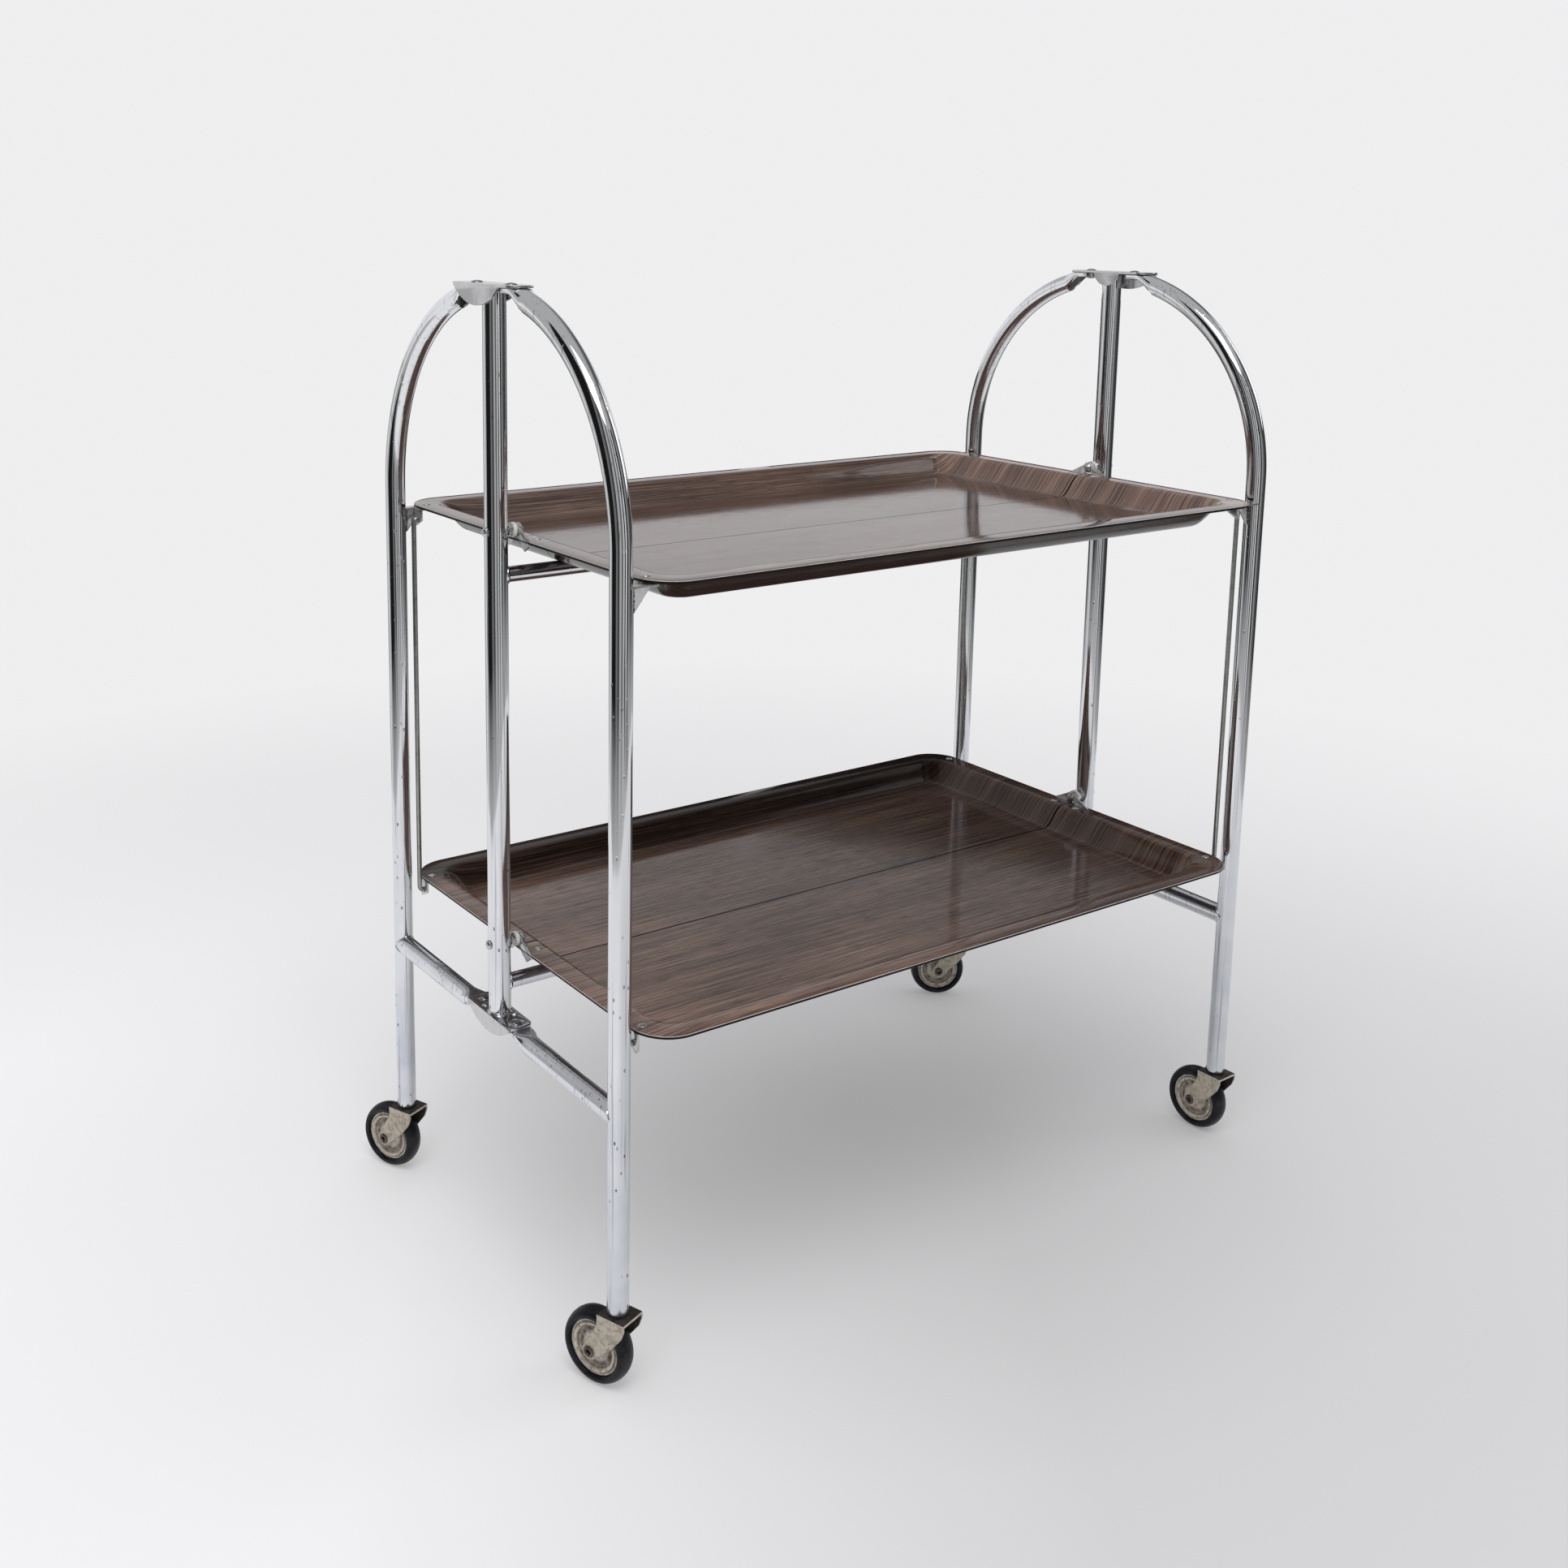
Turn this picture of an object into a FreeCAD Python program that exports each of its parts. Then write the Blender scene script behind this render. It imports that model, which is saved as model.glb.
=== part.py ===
# Folding two-tier tea trolley: chromed tube frame, two split trays, four castors.
#
# Frame of the part: +Z up, origin on the floor under the middle of the trolley.
# +X runs along the trays, -Y is the near side. Millimetres.
#
# Construction: two central posts carry everything. Half-hoops (leg, quarter arch and
# foot strut) swing on vertical rivets in the bracket plates at the top and the foot of
# each post. The tray halves hinge on bolts through the posts, along the trolley's
# middle, and thin rods link each upper half to the lower half under it.
import FreeCAD, Part
import math
import os
import re

import Sketcher

# Driving dimensions. Every one becomes an aliased cell of the sheet "Sizes".
SIZES = {
    # central posts and stretchers
    "overall_height": 776.0,
    "post_reach": 15.5,
    "post_diameter": 17.5,
    "tube_wall": 1.2,
    "stretcher_diameter": 12.0,
    "stretcher_drop": 27.5,
    # half-hoops
    "leg_inset": 21.3,
    "leg_diameter": 16.0,
    "leg_bottom": 62.0,
    "arch_radius": 165.0,
    "crown_drop": 5.9,
    "pivot_y": 25.6,
    "tab_width": 17.4,
    "tab_thickness": 4.2,
    "tab_reach": 8.4,
    "flattening_run": 18.0,
    "strut_drop": 8.6,
    # bracket plates and their rivets
    "bracket_thickness": 1.8,
    "bracket_width": 22.0,
    "bracket_corner": 8.0,
    "top_bracket_reach": 44.0,
    "foot_bracket_reach": 35.0,
    "foot_bracket_top": 218.3,
    "long_ear_start": 25.0,
    "long_ear_end": 43.0,
    "long_ear_depth": 16.0,
    "short_ear_start": 12.8,
    "short_ear_end": 16.4,
    "short_ear_depth": 13.0,
    "foot_ear_reach": 33.0,
    "foot_ear_depth": 14.0,
    "rivet_radius": 3.0,
    "rivet_head_radius": 4.6,
    "rivet_head_height": 1.6,
    "small_rivet_radius": 1.8,
    "small_rivet_head": 3.0,
    "small_rivet_height": 1.0,
    "plate_gap": 0.1,
    "pivot_fit": 0.06,
    # trays
    "tray_half_length": 306.5,
    "tray_half_width": 192.8,
    "upper_rim_z": 589.0,
    "lower_rim_z": 268.0,
    "rim_width": 16.0,
    "rim_corner": 30.0,
    "corner_fall": 0.45,
    "wall_run": 21.0,
    "wall_depth": 18.5,
    "tray_thickness": 2.5,
    "seam_gap": 0.3,
    # tray hinges
    "hinge_rise": 6.0,
    "bolt_radius": 2.4,
    "bolt_head_radius": 3.6,
    "bolt_head_height": 2.5,
    "bolt_head_chamfer": 1.6,
    "dome_radius": 4.0,
    "dome_height": 2.2,
    "ear_thickness": 1.5,
    "ear_eye_radius": 5.0,
    "ear_step": 2.7,
    "ear_root": 5.5,
    "ear_hang": 6.0,
    "ear_toe": 14.5,
    "flange_thickness": 1.4,
    "flange_start": 8.0,
    "flange_end": 22.0,
    "flange_depth": 15.5,
    "washer_radius": 5.6,
    "washer_thickness": 1.4,
    "thin_washer_radius": 4.4,
    "thin_washer_thickness": 0.8,
    "hinge_gap": 0.2,
    "nut_radius": 5.0,
    "nut_thickness": 3.4,
    # link rods and the tabs that carry them
    "rod_radius": 2.0,
    "rod_reach": 3.2,
    "rod_inset": 28.8,
    "rod_drop": 11.0,
    "rod_bend": 4.0,
    "peg_inset": 3.9,
    "open_pivot_gap": 0.25,
    "tab_inset": 0.7,
    "corner_tab_width": 12.0,
    "tab_outer_drop": 4.5,
    "tab_tip_drop": 6.5,
    "tab_tip_reach": 3.5,
    "tab_inner_drop": 1.5,
    "corner_flange_depth": 13.0,
    "tray_rivet_radius": 1.8,
    "tray_rivet_head": 3.4,
    "tray_rivet_height": 1.0,
    "end_rivet_inset": 11.5,
    "end_rivet_y": 13.5,
    "corner_rivet_inset": 8.5,
    # gussets under the upper tray
    "gusset_length": 17.0,
    "gusset_width": 8.0,
    "gusset_setback": 0.5,
    "gusset_foot": 2.0,
    "gusset_thickness": 1.5,
    "gusset_depth": 19.0,
    "gusset_clearance": 0.5,
    # castors
    "wheel_radius": 28.0,
    "castor_trail": 17.0,
    "castor_turn_near_left": 110.0,
    "castor_turn_far_left": 113.0,
    "castor_turn_near_right": 92.0,
    "castor_turn_far_right": 147.0,
    "stem_radius": 4.9,
    "stem_length": 34.0,
    "collar_thickness": 2.0,
    "bush_length": 38.0,
    "bush_fit": 0.1,
    "swivel_gap": 0.3,
    "fork_width": 23.0,
    "fork_plate": 1.6,
    "fork_top_plate": 2.0,
    "fork_back": 13.4,
    "fork_front": 10.4,
    "fork_boss_radius": 6.2,
    "fork_back_straight": 5.0,
    "fork_back_knee": 11.5,
    "fork_back_knee_inset": 2.4,
    "fork_back_waist": 22.0,
    "fork_back_waist_inset": 10.5,
    "fork_front_straight": 7.0,
    "fork_front_knee": 12.5,
    "fork_front_knee_reach": 2.4,
    "axle_radius": 2.7,
    "axle_head_radius": 4.4,
    "axle_head_height": 1.6,
    "tyre_inner_radius": 21.5,
    "tyre_width": 16.0,
    "tyre_chamfer_depth": 1.5,
    "tyre_chamfer": 1.0,
    "tread_rise": 2.5,
    "hub_radius": 5.6,
    "hub_gap": 0.3,
    "disc_web": 3.0,
    "disc_bead": 6.4,
    "disc_flare": 1.5,
    "disc_lip": 1.0,
    "bead_inner": 6.5,
    "bead_crest": 3.5,
}

# Places that follow from the driving dimensions, as formulas of their names.
DERIVED = {
    "post_x": "tray_half_length + post_reach",
    "leg_y": "tray_half_width - leg_inset",
    "post_radius": "post_diameter / 2",
    "leg_radius": "leg_diameter / 2",
    "top_bracket_under": "overall_height - bracket_thickness",
    "foot_bracket_under": "foot_bracket_top - bracket_thickness",
    "arch_centre_z": "overall_height - crown_drop - arch_radius",
    "arch_centre_y": "arch_radius - leg_y",
    "tab_start_y": "pivot_y + tab_reach",
    "flattening_y": "tab_start_y + flattening_run",
    "arch_fall": "sqrt(arch_radius ^ 2 - (arch_centre_y + flattening_y) ^ 2)",
    "arch_end_z": "arch_centre_z + arch_fall",
    "arch_end_tilt": "acos(arch_fall / arch_radius)",
    "hoop_tab_top": "top_bracket_under - plate_gap",
    "strut_tab_top": "foot_bracket_under - plate_gap",
    "strut_z": "foot_bracket_top - strut_drop",
    "bracket_edge": "bracket_width / 2",
    "upper_hinge_z": "upper_rim_z + hinge_rise",
    "lower_hinge_z": "lower_rim_z + hinge_rise",
    "washer_one_x": "tray_half_length + hinge_gap",
    "washer_two_x": "washer_one_x + washer_thickness",
    "nut_x": "washer_two_x + washer_thickness",
    "inner_ear_x": "tray_half_length - ear_step",
    "eye_tangent": "ear_eye_radius * sqrt(0.5)",
    "end_rivet_x": "tray_half_length - end_rivet_inset",
    "corner_rivet_x": "tray_half_length - corner_rivet_inset",
    "rod_x": "tray_half_length + rod_reach",
    "rod_y": "tray_half_width - rod_inset",
    "peg_end_x": "tray_half_length - peg_inset",
    "tab_face_x": "tray_half_length - tab_inset",
    "gusset_start": "leg_y - gusset_setback",
    "dome_x": "inner_ear_x - ear_thickness - hinge_gap",
    "fork_top": "leg_bottom - collar_thickness - swivel_gap",
    "fork_inside": "fork_width - 2 * fork_plate",
}

CORNERS = (
    ("near_left", -1, False),
    ("near_right", 1, False),
    ("far_left", -1, True),
    ("far_right", 1, True),
)
TIERS = ("upper", "lower")
WALL_STEPS = 4
# Places of the two small rivets in a foot bracket, from its post, left-hand bracket.
SMALL_RIVETS = ((-5.0, 14.0), (7.0, -10.5))
# Share of a rivet head's radius that is flat on top.
RIVET_CROWN = 0.6

doc = FreeCAD.newDocument("TeaTrolley")
sheet = doc.addObject("Spreadsheet::Sheet", "Sizes")
for row, (alias, size) in enumerate(SIZES.items(), start=1):
    sheet.set(f"A{row}", alias)
    sheet.set(f"B{row}", str(size))
    sheet.setAlias(f"B{row}", alias)
doc.recompute()

nodes = []


def formula(text):
    """Spell out a formula of size names as an expression on the sheet."""
    def spell(match):
        word = match.group()
        if word in SIZES:
            return "Sizes." + word
        if word in DERIVED:
            return "(" + formula(DERIVED[word]) + ")"
        return word
    return re.sub(r"[a-z][a-z_]*", spell, text)


def number(text):
    """Value of a formula of size names."""
    return float(sheet.evalExpression(formula(text)))


def bind(item, path, text):
    """Tie one property of an object to a formula of size names."""
    item.setExpression(path, formula(text))


def new_node(kind, label):
    """Add an object whose shape becomes one exported sub-part."""
    item = doc.addObject(kind, label)
    item.Label = label
    nodes.append(item)
    return item


def sketch_on(body, plane_role, name, lift="0"):
    """Empty sketch on one of the body's own origin planes, lifted along its normal."""
    sketch = body.newObject("Sketcher::SketchObject", f"{body.Name}_{name}")
    plane = [item for item in body.Origin.OriginFeatures if item.Role == plane_role][0]
    sketch.AttachmentSupport = (plane, [""])
    sketch.MapMode = "FlatFace"
    bind(sketch, "AttachmentOffset.Base.z", lift)
    return sketch


def arc_edge(start, end, radius, turn):
    """Arc of under half a circle from start to end, turn 1 anticlockwise, -1 clockwise."""
    chord = end - start
    rise = math.sqrt(max(radius ** 2 - (chord.Length / 2) ** 2, 0.0))
    across = FreeCAD.Vector(-chord.y, chord.x, 0).normalize()
    centre = (start + end) * 0.5 + across * (rise * turn)
    first, last = (start, end) if turn > 0 else (end, start)
    angles = [math.atan2(p.y - centre.y, p.x - centre.x) for p in (first, last)]
    circle = Part.Circle(centre, FreeCAD.Vector(0, 0, 1), radius)
    return Part.ArcOfCircle(circle, *angles)


def draw(sketch, corners, closed=True):
    """Draw an outline whose corners are (x, y) or, arriving on an arc, (x, y, radius, turn)."""
    points = [FreeCAD.Vector(number(c[0]), number(c[1]), 0) for c in corners]
    begin = 0 if closed else 1
    edges = []
    for index in range(begin, len(corners)):
        corner = corners[index]
        start, end = points[index - 1], points[index]
        if len(corner) == 2:
            edge = sketch.addGeometry(Part.LineSegment(start, end), False)
            edges.append((edge, 1, 2))
            continue
        turn = corner[3]
        edge = sketch.addGeometry(arc_edge(start, end, number(corner[2]), turn), False)
        edges.append((edge, 1, 2) if turn > 0 else (edge, 2, 1))
        constrain(sketch, Sketcher.Constraint("Radius", edge, number(corner[2])), corner[2])
    for place in range(len(edges)):
        edge, _, tail = edges[place]
        fix_point(sketch, edge, tail, corners[begin + place])
        if closed or place + 1 < len(edges):
            follower, head, _ = edges[(place + 1) % len(edges)]
            sketch.addConstraint(Sketcher.Constraint("Coincident", edge, tail, follower, head))
    if not closed:
        fix_point(sketch, edges[0][0], edges[0][1], corners[0])


def constrain(sketch, constraint, text):
    """Add a constraint whose value follows a formula."""
    index = sketch.addConstraint(constraint)
    bind(sketch, f"Constraints[{index}]", text)


def fix_point(sketch, edge, end, corner):
    """Place one end of an edge by its distances from the sketch's origin."""
    for axis, text in (("DistanceX", corner[0]), ("DistanceY", corner[1])):
        rule = Sketcher.Constraint(axis, -1, 1, edge, end, number(text))
        constrain(sketch, rule, text)


def draw_circle(sketch, x, y, radius):
    """Draw a circle by its centre and radius."""
    centre = FreeCAD.Vector(number(x), number(y), 0)
    circle = Part.Circle(centre, FreeCAD.Vector(0, 0, 1), number(radius))
    edge = sketch.addGeometry(circle, False)
    constrain(sketch, Sketcher.Constraint("Radius", edge, number(radius)), radius)
    fix_point(sketch, edge, 3, (x, y))


def draw_quartered_circle(sketch, x, y, radius):
    """Draw a circle as four arcs that start on its diagonals, to loft to a rectangle."""
    half = f"({radius}) * sqrt(0.5)"
    draw(sketch, [
        (f"{x} - {half}", f"{y} - {half}", radius, 1),
        (f"{x} + {half}", f"{y} - {half}", radius, 1),
        (f"{x} + {half}", f"{y} + {half}", radius, 1),
        (f"{x} - {half}", f"{y} + {half}", radius, 1),
    ])


def draw_rectangle(sketch, x_low, y_low, x_high, y_high):
    """Draw a rectangle between two corners."""
    draw(sketch, [(x_low, y_low), (x_high, y_low), (x_high, y_high), (x_low, y_high)])


def feature(body, kind, name, **settings):
    """Add a PartDesign feature to a body."""
    item = body.newObject(f"PartDesign::{kind}", f"{body.Name}_{name}")
    for key, setting in settings.items():
        setattr(item, key, setting)
    return item


def pad(body, sketch, length, side="One side", back=False):
    """Pad a sketch by a length."""
    item = feature(body, "Pad", f"pad_{sketch.Name}", Profile=sketch, SideType=side, Reversed=back)
    bind(item, "Length", length)
    return item


def cut_through(body, sketch):
    """Pocket a sketch through the whole body, both ways, and make sure that it cuts."""
    doc.recompute()
    before = body.Shape.Volume
    feature(body, "Pocket", f"cut_{sketch.Name}", Profile=sketch, Type="ThroughAll", SideType="Symmetric")
    doc.recompute()
    if not body.Shape.Volume < before:
        raise RuntimeError(f"{sketch.Name} cuts nothing")


def pocket(body, sketch, length, back=False):
    """Pocket a sketch to a length, and make sure that it cuts."""
    doc.recompute()
    before = body.Shape.Volume
    item = feature(body, "Pocket", f"cut_{sketch.Name}", Profile=sketch, Reversed=back)
    bind(item, "Length", length)
    doc.recompute()
    if not body.Shape.Volume < before:
        raise RuntimeError(f"{sketch.Name} cuts nothing")


def revolve(body, sketch, axis_role):
    """Turn a sketch about one of the body's own axes."""
    axis = [item for item in body.Origin.OriginFeatures if item.Role == axis_role][0]
    return feature(body, "Revolution", f"turn_{sketch.Name}", Profile=sketch, ReferenceAxis=(axis, [""]))


def at_post(item, side, far):
    """Set a piece at a post: pieces are made for the near side, far ones are turned round."""
    item.Placement = FreeCAD.Placement(FreeCAD.Vector(), FreeCAD.Rotation(180.0 if far else 0.0, 0, 0))
    bind(item, "Placement.Base.x", f"{side} * post_x")


def on_far_side(item, far):
    """Turn a piece of a near tray half round to the far side."""
    if far:
        item.Placement = FreeCAD.Placement(FreeCAD.Vector(), FreeCAD.Rotation(180.0, 0, 0))


# Central posts, stretchers and bracket plates


def build_post(label, side):
    """Tube from the foot bracket to the top bracket, cross-drilled for the tray hinge bolts."""
    body = new_node("PartDesign::Body", label)
    ring = sketch_on(body, "XY_Plane", "ring", "foot_bracket_top")
    draw_circle(ring, "0", "0", "post_radius")
    draw_circle(ring, "0", "0", "post_radius - tube_wall")
    pad(body, ring, "top_bracket_under - foot_bracket_top")
    holes = sketch_on(body, "YZ_Plane", "bolt_holes")
    for tier in TIERS:
        draw_circle(holes, "0", f"{tier}_hinge_z", "bolt_radius + pivot_fit")
    cut_through(body, holes)
    at_post(body, side, False)


def build_stretcher(label, tier):
    """Tube between the posts under a tray's seam, its ends coped to the posts."""
    body = new_node("PartDesign::Body", label)
    ring = sketch_on(body, "YZ_Plane", "ring")
    height = f"{tier}_rim_z - stretcher_drop"
    draw_circle(ring, "0", height, "stretcher_diameter / 2")
    draw_circle(ring, "0", height, "stretcher_diameter / 2 - tube_wall")
    pad(body, ring, "2 * post_x", side="Symmetric")
    cope = sketch_on(body, "XY_Plane", "cope")
    draw_circle(cope, "post_x", "0", "post_radius")
    draw_circle(cope, "-post_x", "0", "post_radius")
    cut_through(body, cope)


def draw_plate(sketch, reach):
    """Outline of a bracket plate with rounded tongues."""
    edge, corner = "bracket_edge", "bracket_corner"
    inner, straight = f"{edge} - {corner}", f"{reach} - {corner}"
    draw(sketch, [
        (f"-({inner})", f"-{reach}"),
        (inner, f"-{reach}"),
        (edge, f"-({straight})", corner, 1),
        (edge, straight),
        (inner, reach, corner, 1),
        (f"-({inner})", reach),
        (f"-{edge}", straight, corner, 1),
        (f"-{edge}", f"-({straight})"),
    ][1:] + [(f"-({inner})", f"-{reach}", corner, 1)])


def hang_ear(body, name, outer, low, high, depth, top):
    """Turn a half-moon ear down from one long edge of a bracket plate."""
    lift = "-bracket_edge" if outer else "bracket_edge - bracket_thickness"
    sketch = sketch_on(body, "YZ_Plane", name, lift)
    under = f"{top} - bracket_thickness"
    radius = f"(({high} - ({low})) ^ 2 / 4 + ({depth}) ^ 2) / (2 * ({depth}))"
    draw(sketch, [(low, under, radius, -1), (low, top), (high, top), (high, under)])
    pad(body, sketch, "bracket_thickness")


def build_bracket(label, side, is_top):
    """Bracket plate with turned-down ears and holes for the pivot rivets."""
    top = "overall_height" if is_top else "foot_bracket_top"
    reach = "top_bracket_reach" if is_top else "foot_bracket_reach"
    body = new_node("PartDesign::Body", label)
    plate = sketch_on(body, "XY_Plane", "plate", top)
    draw_plate(plate, reach)
    pad(body, plate, "bracket_thickness", back=True)
    if is_top:
        depth = "long_ear_depth - bracket_thickness"
        hang_ear(body, "long_ear", True, "-long_ear_start", "long_ear_end", depth, top)
        depth = "short_ear_depth - bracket_thickness"
        hang_ear(body, "short_ear", False, "-short_ear_start", "short_ear_end", depth, top)
    else:
        depth = "foot_ear_depth - bracket_thickness"
        hang_ear(body, "foot_ear", True, "-foot_ear_reach", "foot_ear_reach", depth, top)
    holes = sketch_on(body, "XY_Plane", "rivet_holes")
    draw_circle(holes, "0", "pivot_y", "rivet_radius")
    draw_circle(holes, "0", "-pivot_y", "rivet_radius")
    if not is_top:
        for x, y in SMALL_RIVETS:
            draw_circle(holes, str(x), str(y), "small_rivet_radius")
    cut_through(body, holes)
    at_post(body, side, side > 0)


def rivet_profile(label, radius, head_radius, head_height, grip):
    """Half section of a pan-headed rivet on +Z, its upper head standing on z = 0."""
    sketch = doc.addObject("Sketcher::SketchObject", label)
    crown = f"{RIVET_CROWN} * {head_radius}"
    draw(sketch, [
        ("0", f"-({grip}) - {head_height}"),
        (crown, f"-({grip}) - {head_height}"),
        (head_radius, f"-({grip})"),
        (radius, f"-({grip})"),
        (radius, "0"),
        (head_radius, "0"),
        (crown, head_height),
        ("0", head_height),
    ])
    sketch.Placement = FreeCAD.Placement(FreeCAD.Vector(), FreeCAD.Rotation(FreeCAD.Vector(1, 0, 0), 90))
    return sketch


def turned(label, profile, axis, spot, end_for_end=False):
    """Solid of revolution of a shared profile, set at a spot given by three formulas."""
    item = doc.addObject("Part::Revolution", label)
    item.Source = profile
    item.Axis = axis
    item.Angle = 360.0
    item.Solid = True
    if end_for_end:
        item.Placement = FreeCAD.Placement(FreeCAD.Vector(), FreeCAD.Rotation(180.0, 0, 0))
    for name, text in zip("xyz", spot):
        bind(item, f"Placement.Base.{name}", text)
    return item


def build_frame_rivets(label):
    """Pivot rivets of the half-hoops and the small rivets of the foot brackets."""
    pivot = rivet_profile(
        "pivot_rivet_profile", "rivet_radius", "rivet_head_radius", "rivet_head_height",
        "bracket_thickness + tab_thickness + 2 * plate_gap")
    small = rivet_profile(
        "small_rivet_profile", "small_rivet_radius", "small_rivet_head", "small_rivet_height",
        "bracket_thickness")
    vertical = FreeCAD.Vector(0, 0, 1)
    rivets = []
    for side in (-1, 1):
        for tier, top in (("top", "overall_height"), ("foot", "foot_bracket_top")):
            for way in (-1, 1):
                spot = (f"{side} * post_x", f"{way} * pivot_y", top)
                rivets.append(turned(f"pivot_rivet_{len(rivets) + 1}", pivot, vertical, spot))
        for x, y in SMALL_RIVETS:
            spot = (f"{side} * (post_x - {x})", str(-side * y), "foot_bracket_top")
            rivets.append(turned(f"small_rivet_{len(rivets) + 1}", small, vertical, spot))
    new_node("Part::Compound", label).Links = rivets


# Half-hoops: leg with its arch, foot strut, gusset and castor bush


def flatten_end(body, name, start_z, start_tilt, tab_top):
    """Loft from the round tube down to a flat tab with a rivet hole under the bracket plate."""
    tube_end = sketch_on(body, "XZ_Plane", f"{name}_round", "flattening_y")
    if start_tilt:
        tube_end.AttachmentOffset = FreeCAD.Placement(
            FreeCAD.Vector(), FreeCAD.Rotation(FreeCAD.Vector(1, 0, 0), 20))
        bind(tube_end, "AttachmentOffset.Base.y", start_z)
        bind(tube_end, "AttachmentOffset.Rotation.Angle", start_tilt)
        draw_quartered_circle(tube_end, "0", "0", "leg_radius")
    else:
        draw_quartered_circle(tube_end, "0", start_z, "leg_radius")
    flat_end = sketch_on(body, "XZ_Plane", f"{name}_flat", "tab_start_y")
    draw_rectangle(flat_end, "-tab_width / 2", f"{tab_top} - tab_thickness", "tab_width / 2", tab_top)
    feature(body, "AdditiveLoft", f"{name}_loft", Profile=tube_end, Sections=[flat_end])
    tongue = sketch_on(body, "XY_Plane", f"{name}_tongue", tab_top)
    draw(tongue, [
        ("tab_width / 2", "-tab_start_y"),
        ("tab_width / 2", "-pivot_y"),
        ("0", "-pivot_y + tab_width / 2", "tab_width / 2", 1),
        ("-tab_width / 2", "-pivot_y", "tab_width / 2", 1),
        ("-tab_width / 2", "-tab_start_y"),
    ])
    pad(body, tongue, "tab_thickness", back=True)
    hole = sketch_on(body, "XY_Plane", f"{name}_hole", tab_top)
    draw_circle(hole, "0", "-pivot_y", "rivet_radius + pivot_fit")
    pocket(body, hole, "tab_thickness")


def build_leg_arch(label, side, far):
    """One tube: the vertical leg bent through the arch, its end flattened on the pivot."""
    body = new_node("PartDesign::Body", label)
    ring = sketch_on(body, "XY_Plane", "ring", "leg_bottom")
    draw_circle(ring, "0", "-leg_y", "leg_radius")
    draw_circle(ring, "0", "-leg_y", "leg_radius - tube_wall")
    path = sketch_on(body, "YZ_Plane", "path")
    draw(path, [
        ("-leg_y", "leg_bottom"),
        ("-leg_y", "arch_centre_z"),
        ("-flattening_y", "arch_end_z", "arch_radius", -1),
    ], closed=False)
    feature(body, "AdditivePipe", "bend", Profile=ring, Spine=(path, ["Edge1", "Edge2"]))
    flatten_end(body, "top", "arch_end_z", "arch_end_tilt", "hoop_tab_top")
    at_post(body, side, far)


def build_strut(label, side, far):
    """Tube from the leg to the foot bracket, coped to the leg, its end flattened."""
    body = new_node("PartDesign::Body", label)
    ring = sketch_on(body, "XZ_Plane", "ring", "flattening_y")
    draw_circle(ring, "0", "strut_z", "leg_radius")
    draw_circle(ring, "0", "strut_z", "leg_radius - tube_wall")
    pad(body, ring, "leg_y - flattening_y")
    flatten_end(body, "foot", "strut_z", None, "strut_tab_top")
    cope = sketch_on(body, "XY_Plane", "cope")
    draw_circle(cope, "0", "-leg_y", "leg_radius")
    cut_through(body, cope)
    at_post(body, side, far)


def build_gusset(label, side, far):
    """Pressed shelf bracket welded to the leg, under the upper tray's rim."""
    inward = side if far else -side
    body = new_node("PartDesign::Body", label)
    top = "upper_rim_z - tray_thickness - gusset_clearance"
    tip = f"{inward} * (leg_radius + gusset_length)"
    lip_root = f"{inward} * (leg_radius + gusset_length - gusset_thickness)"
    thickness = "gusset_thickness"
    shelf = sketch_on(body, "XZ_Plane", "shelf", "gusset_start")
    draw(shelf, [
        ("0", top),
        ("0", f"{top} - {thickness}"),
        (tip, f"{top} - {thickness}"),
        (tip, top),
    ])
    pad(body, shelf, "gusset_width")
    web = sketch_on(body, "XZ_Plane", "web", "gusset_start")
    draw(web, [
        ("0", top),
        ("0", f"{top} - gusset_depth"),
        (f"{inward} * (leg_radius + gusset_foot)", f"{top} - gusset_depth"),
        (lip_root, f"{top} - {thickness}"),
        (lip_root, top),
    ])
    pad(body, web, thickness)
    cope = sketch_on(body, "XY_Plane", "cope")
    draw_circle(cope, "0", "-leg_y", "leg_radius")
    cut_through(body, cope)
    at_post(body, side, far)


def build_castor_bush(label, side, far):
    """Expanding bush in the leg's end, with the collar that the leg stands on."""
    body = new_node("PartDesign::Body", label)
    inside = "stem_radius + bush_fit"
    section = sketch_on(body, "XZ_Plane", "section")
    draw(section, [
        (inside, "leg_bottom - collar_thickness"),
        ("leg_radius", "leg_bottom - collar_thickness"),
        ("leg_radius", "leg_bottom"),
        ("leg_radius - tube_wall", "leg_bottom"),
        ("leg_radius - tube_wall", "leg_bottom + bush_length"),
        (inside, "leg_bottom + bush_length"),
    ])
    revolve(body, section, "Z_Axis")
    at_leg(body, side, far, 0.0)


# Castors


def at_leg(item, side, far, turn):
    """Set a castor piece under its leg, turned about the leg's axis by some degrees."""
    item.Placement = FreeCAD.Placement(FreeCAD.Vector(), FreeCAD.Rotation(turn, 0, 0))
    bind(item, "Placement.Base.x", f"{side} * post_x")
    bind(item, "Placement.Base.y", "leg_y" if far else "-leg_y")


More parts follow.
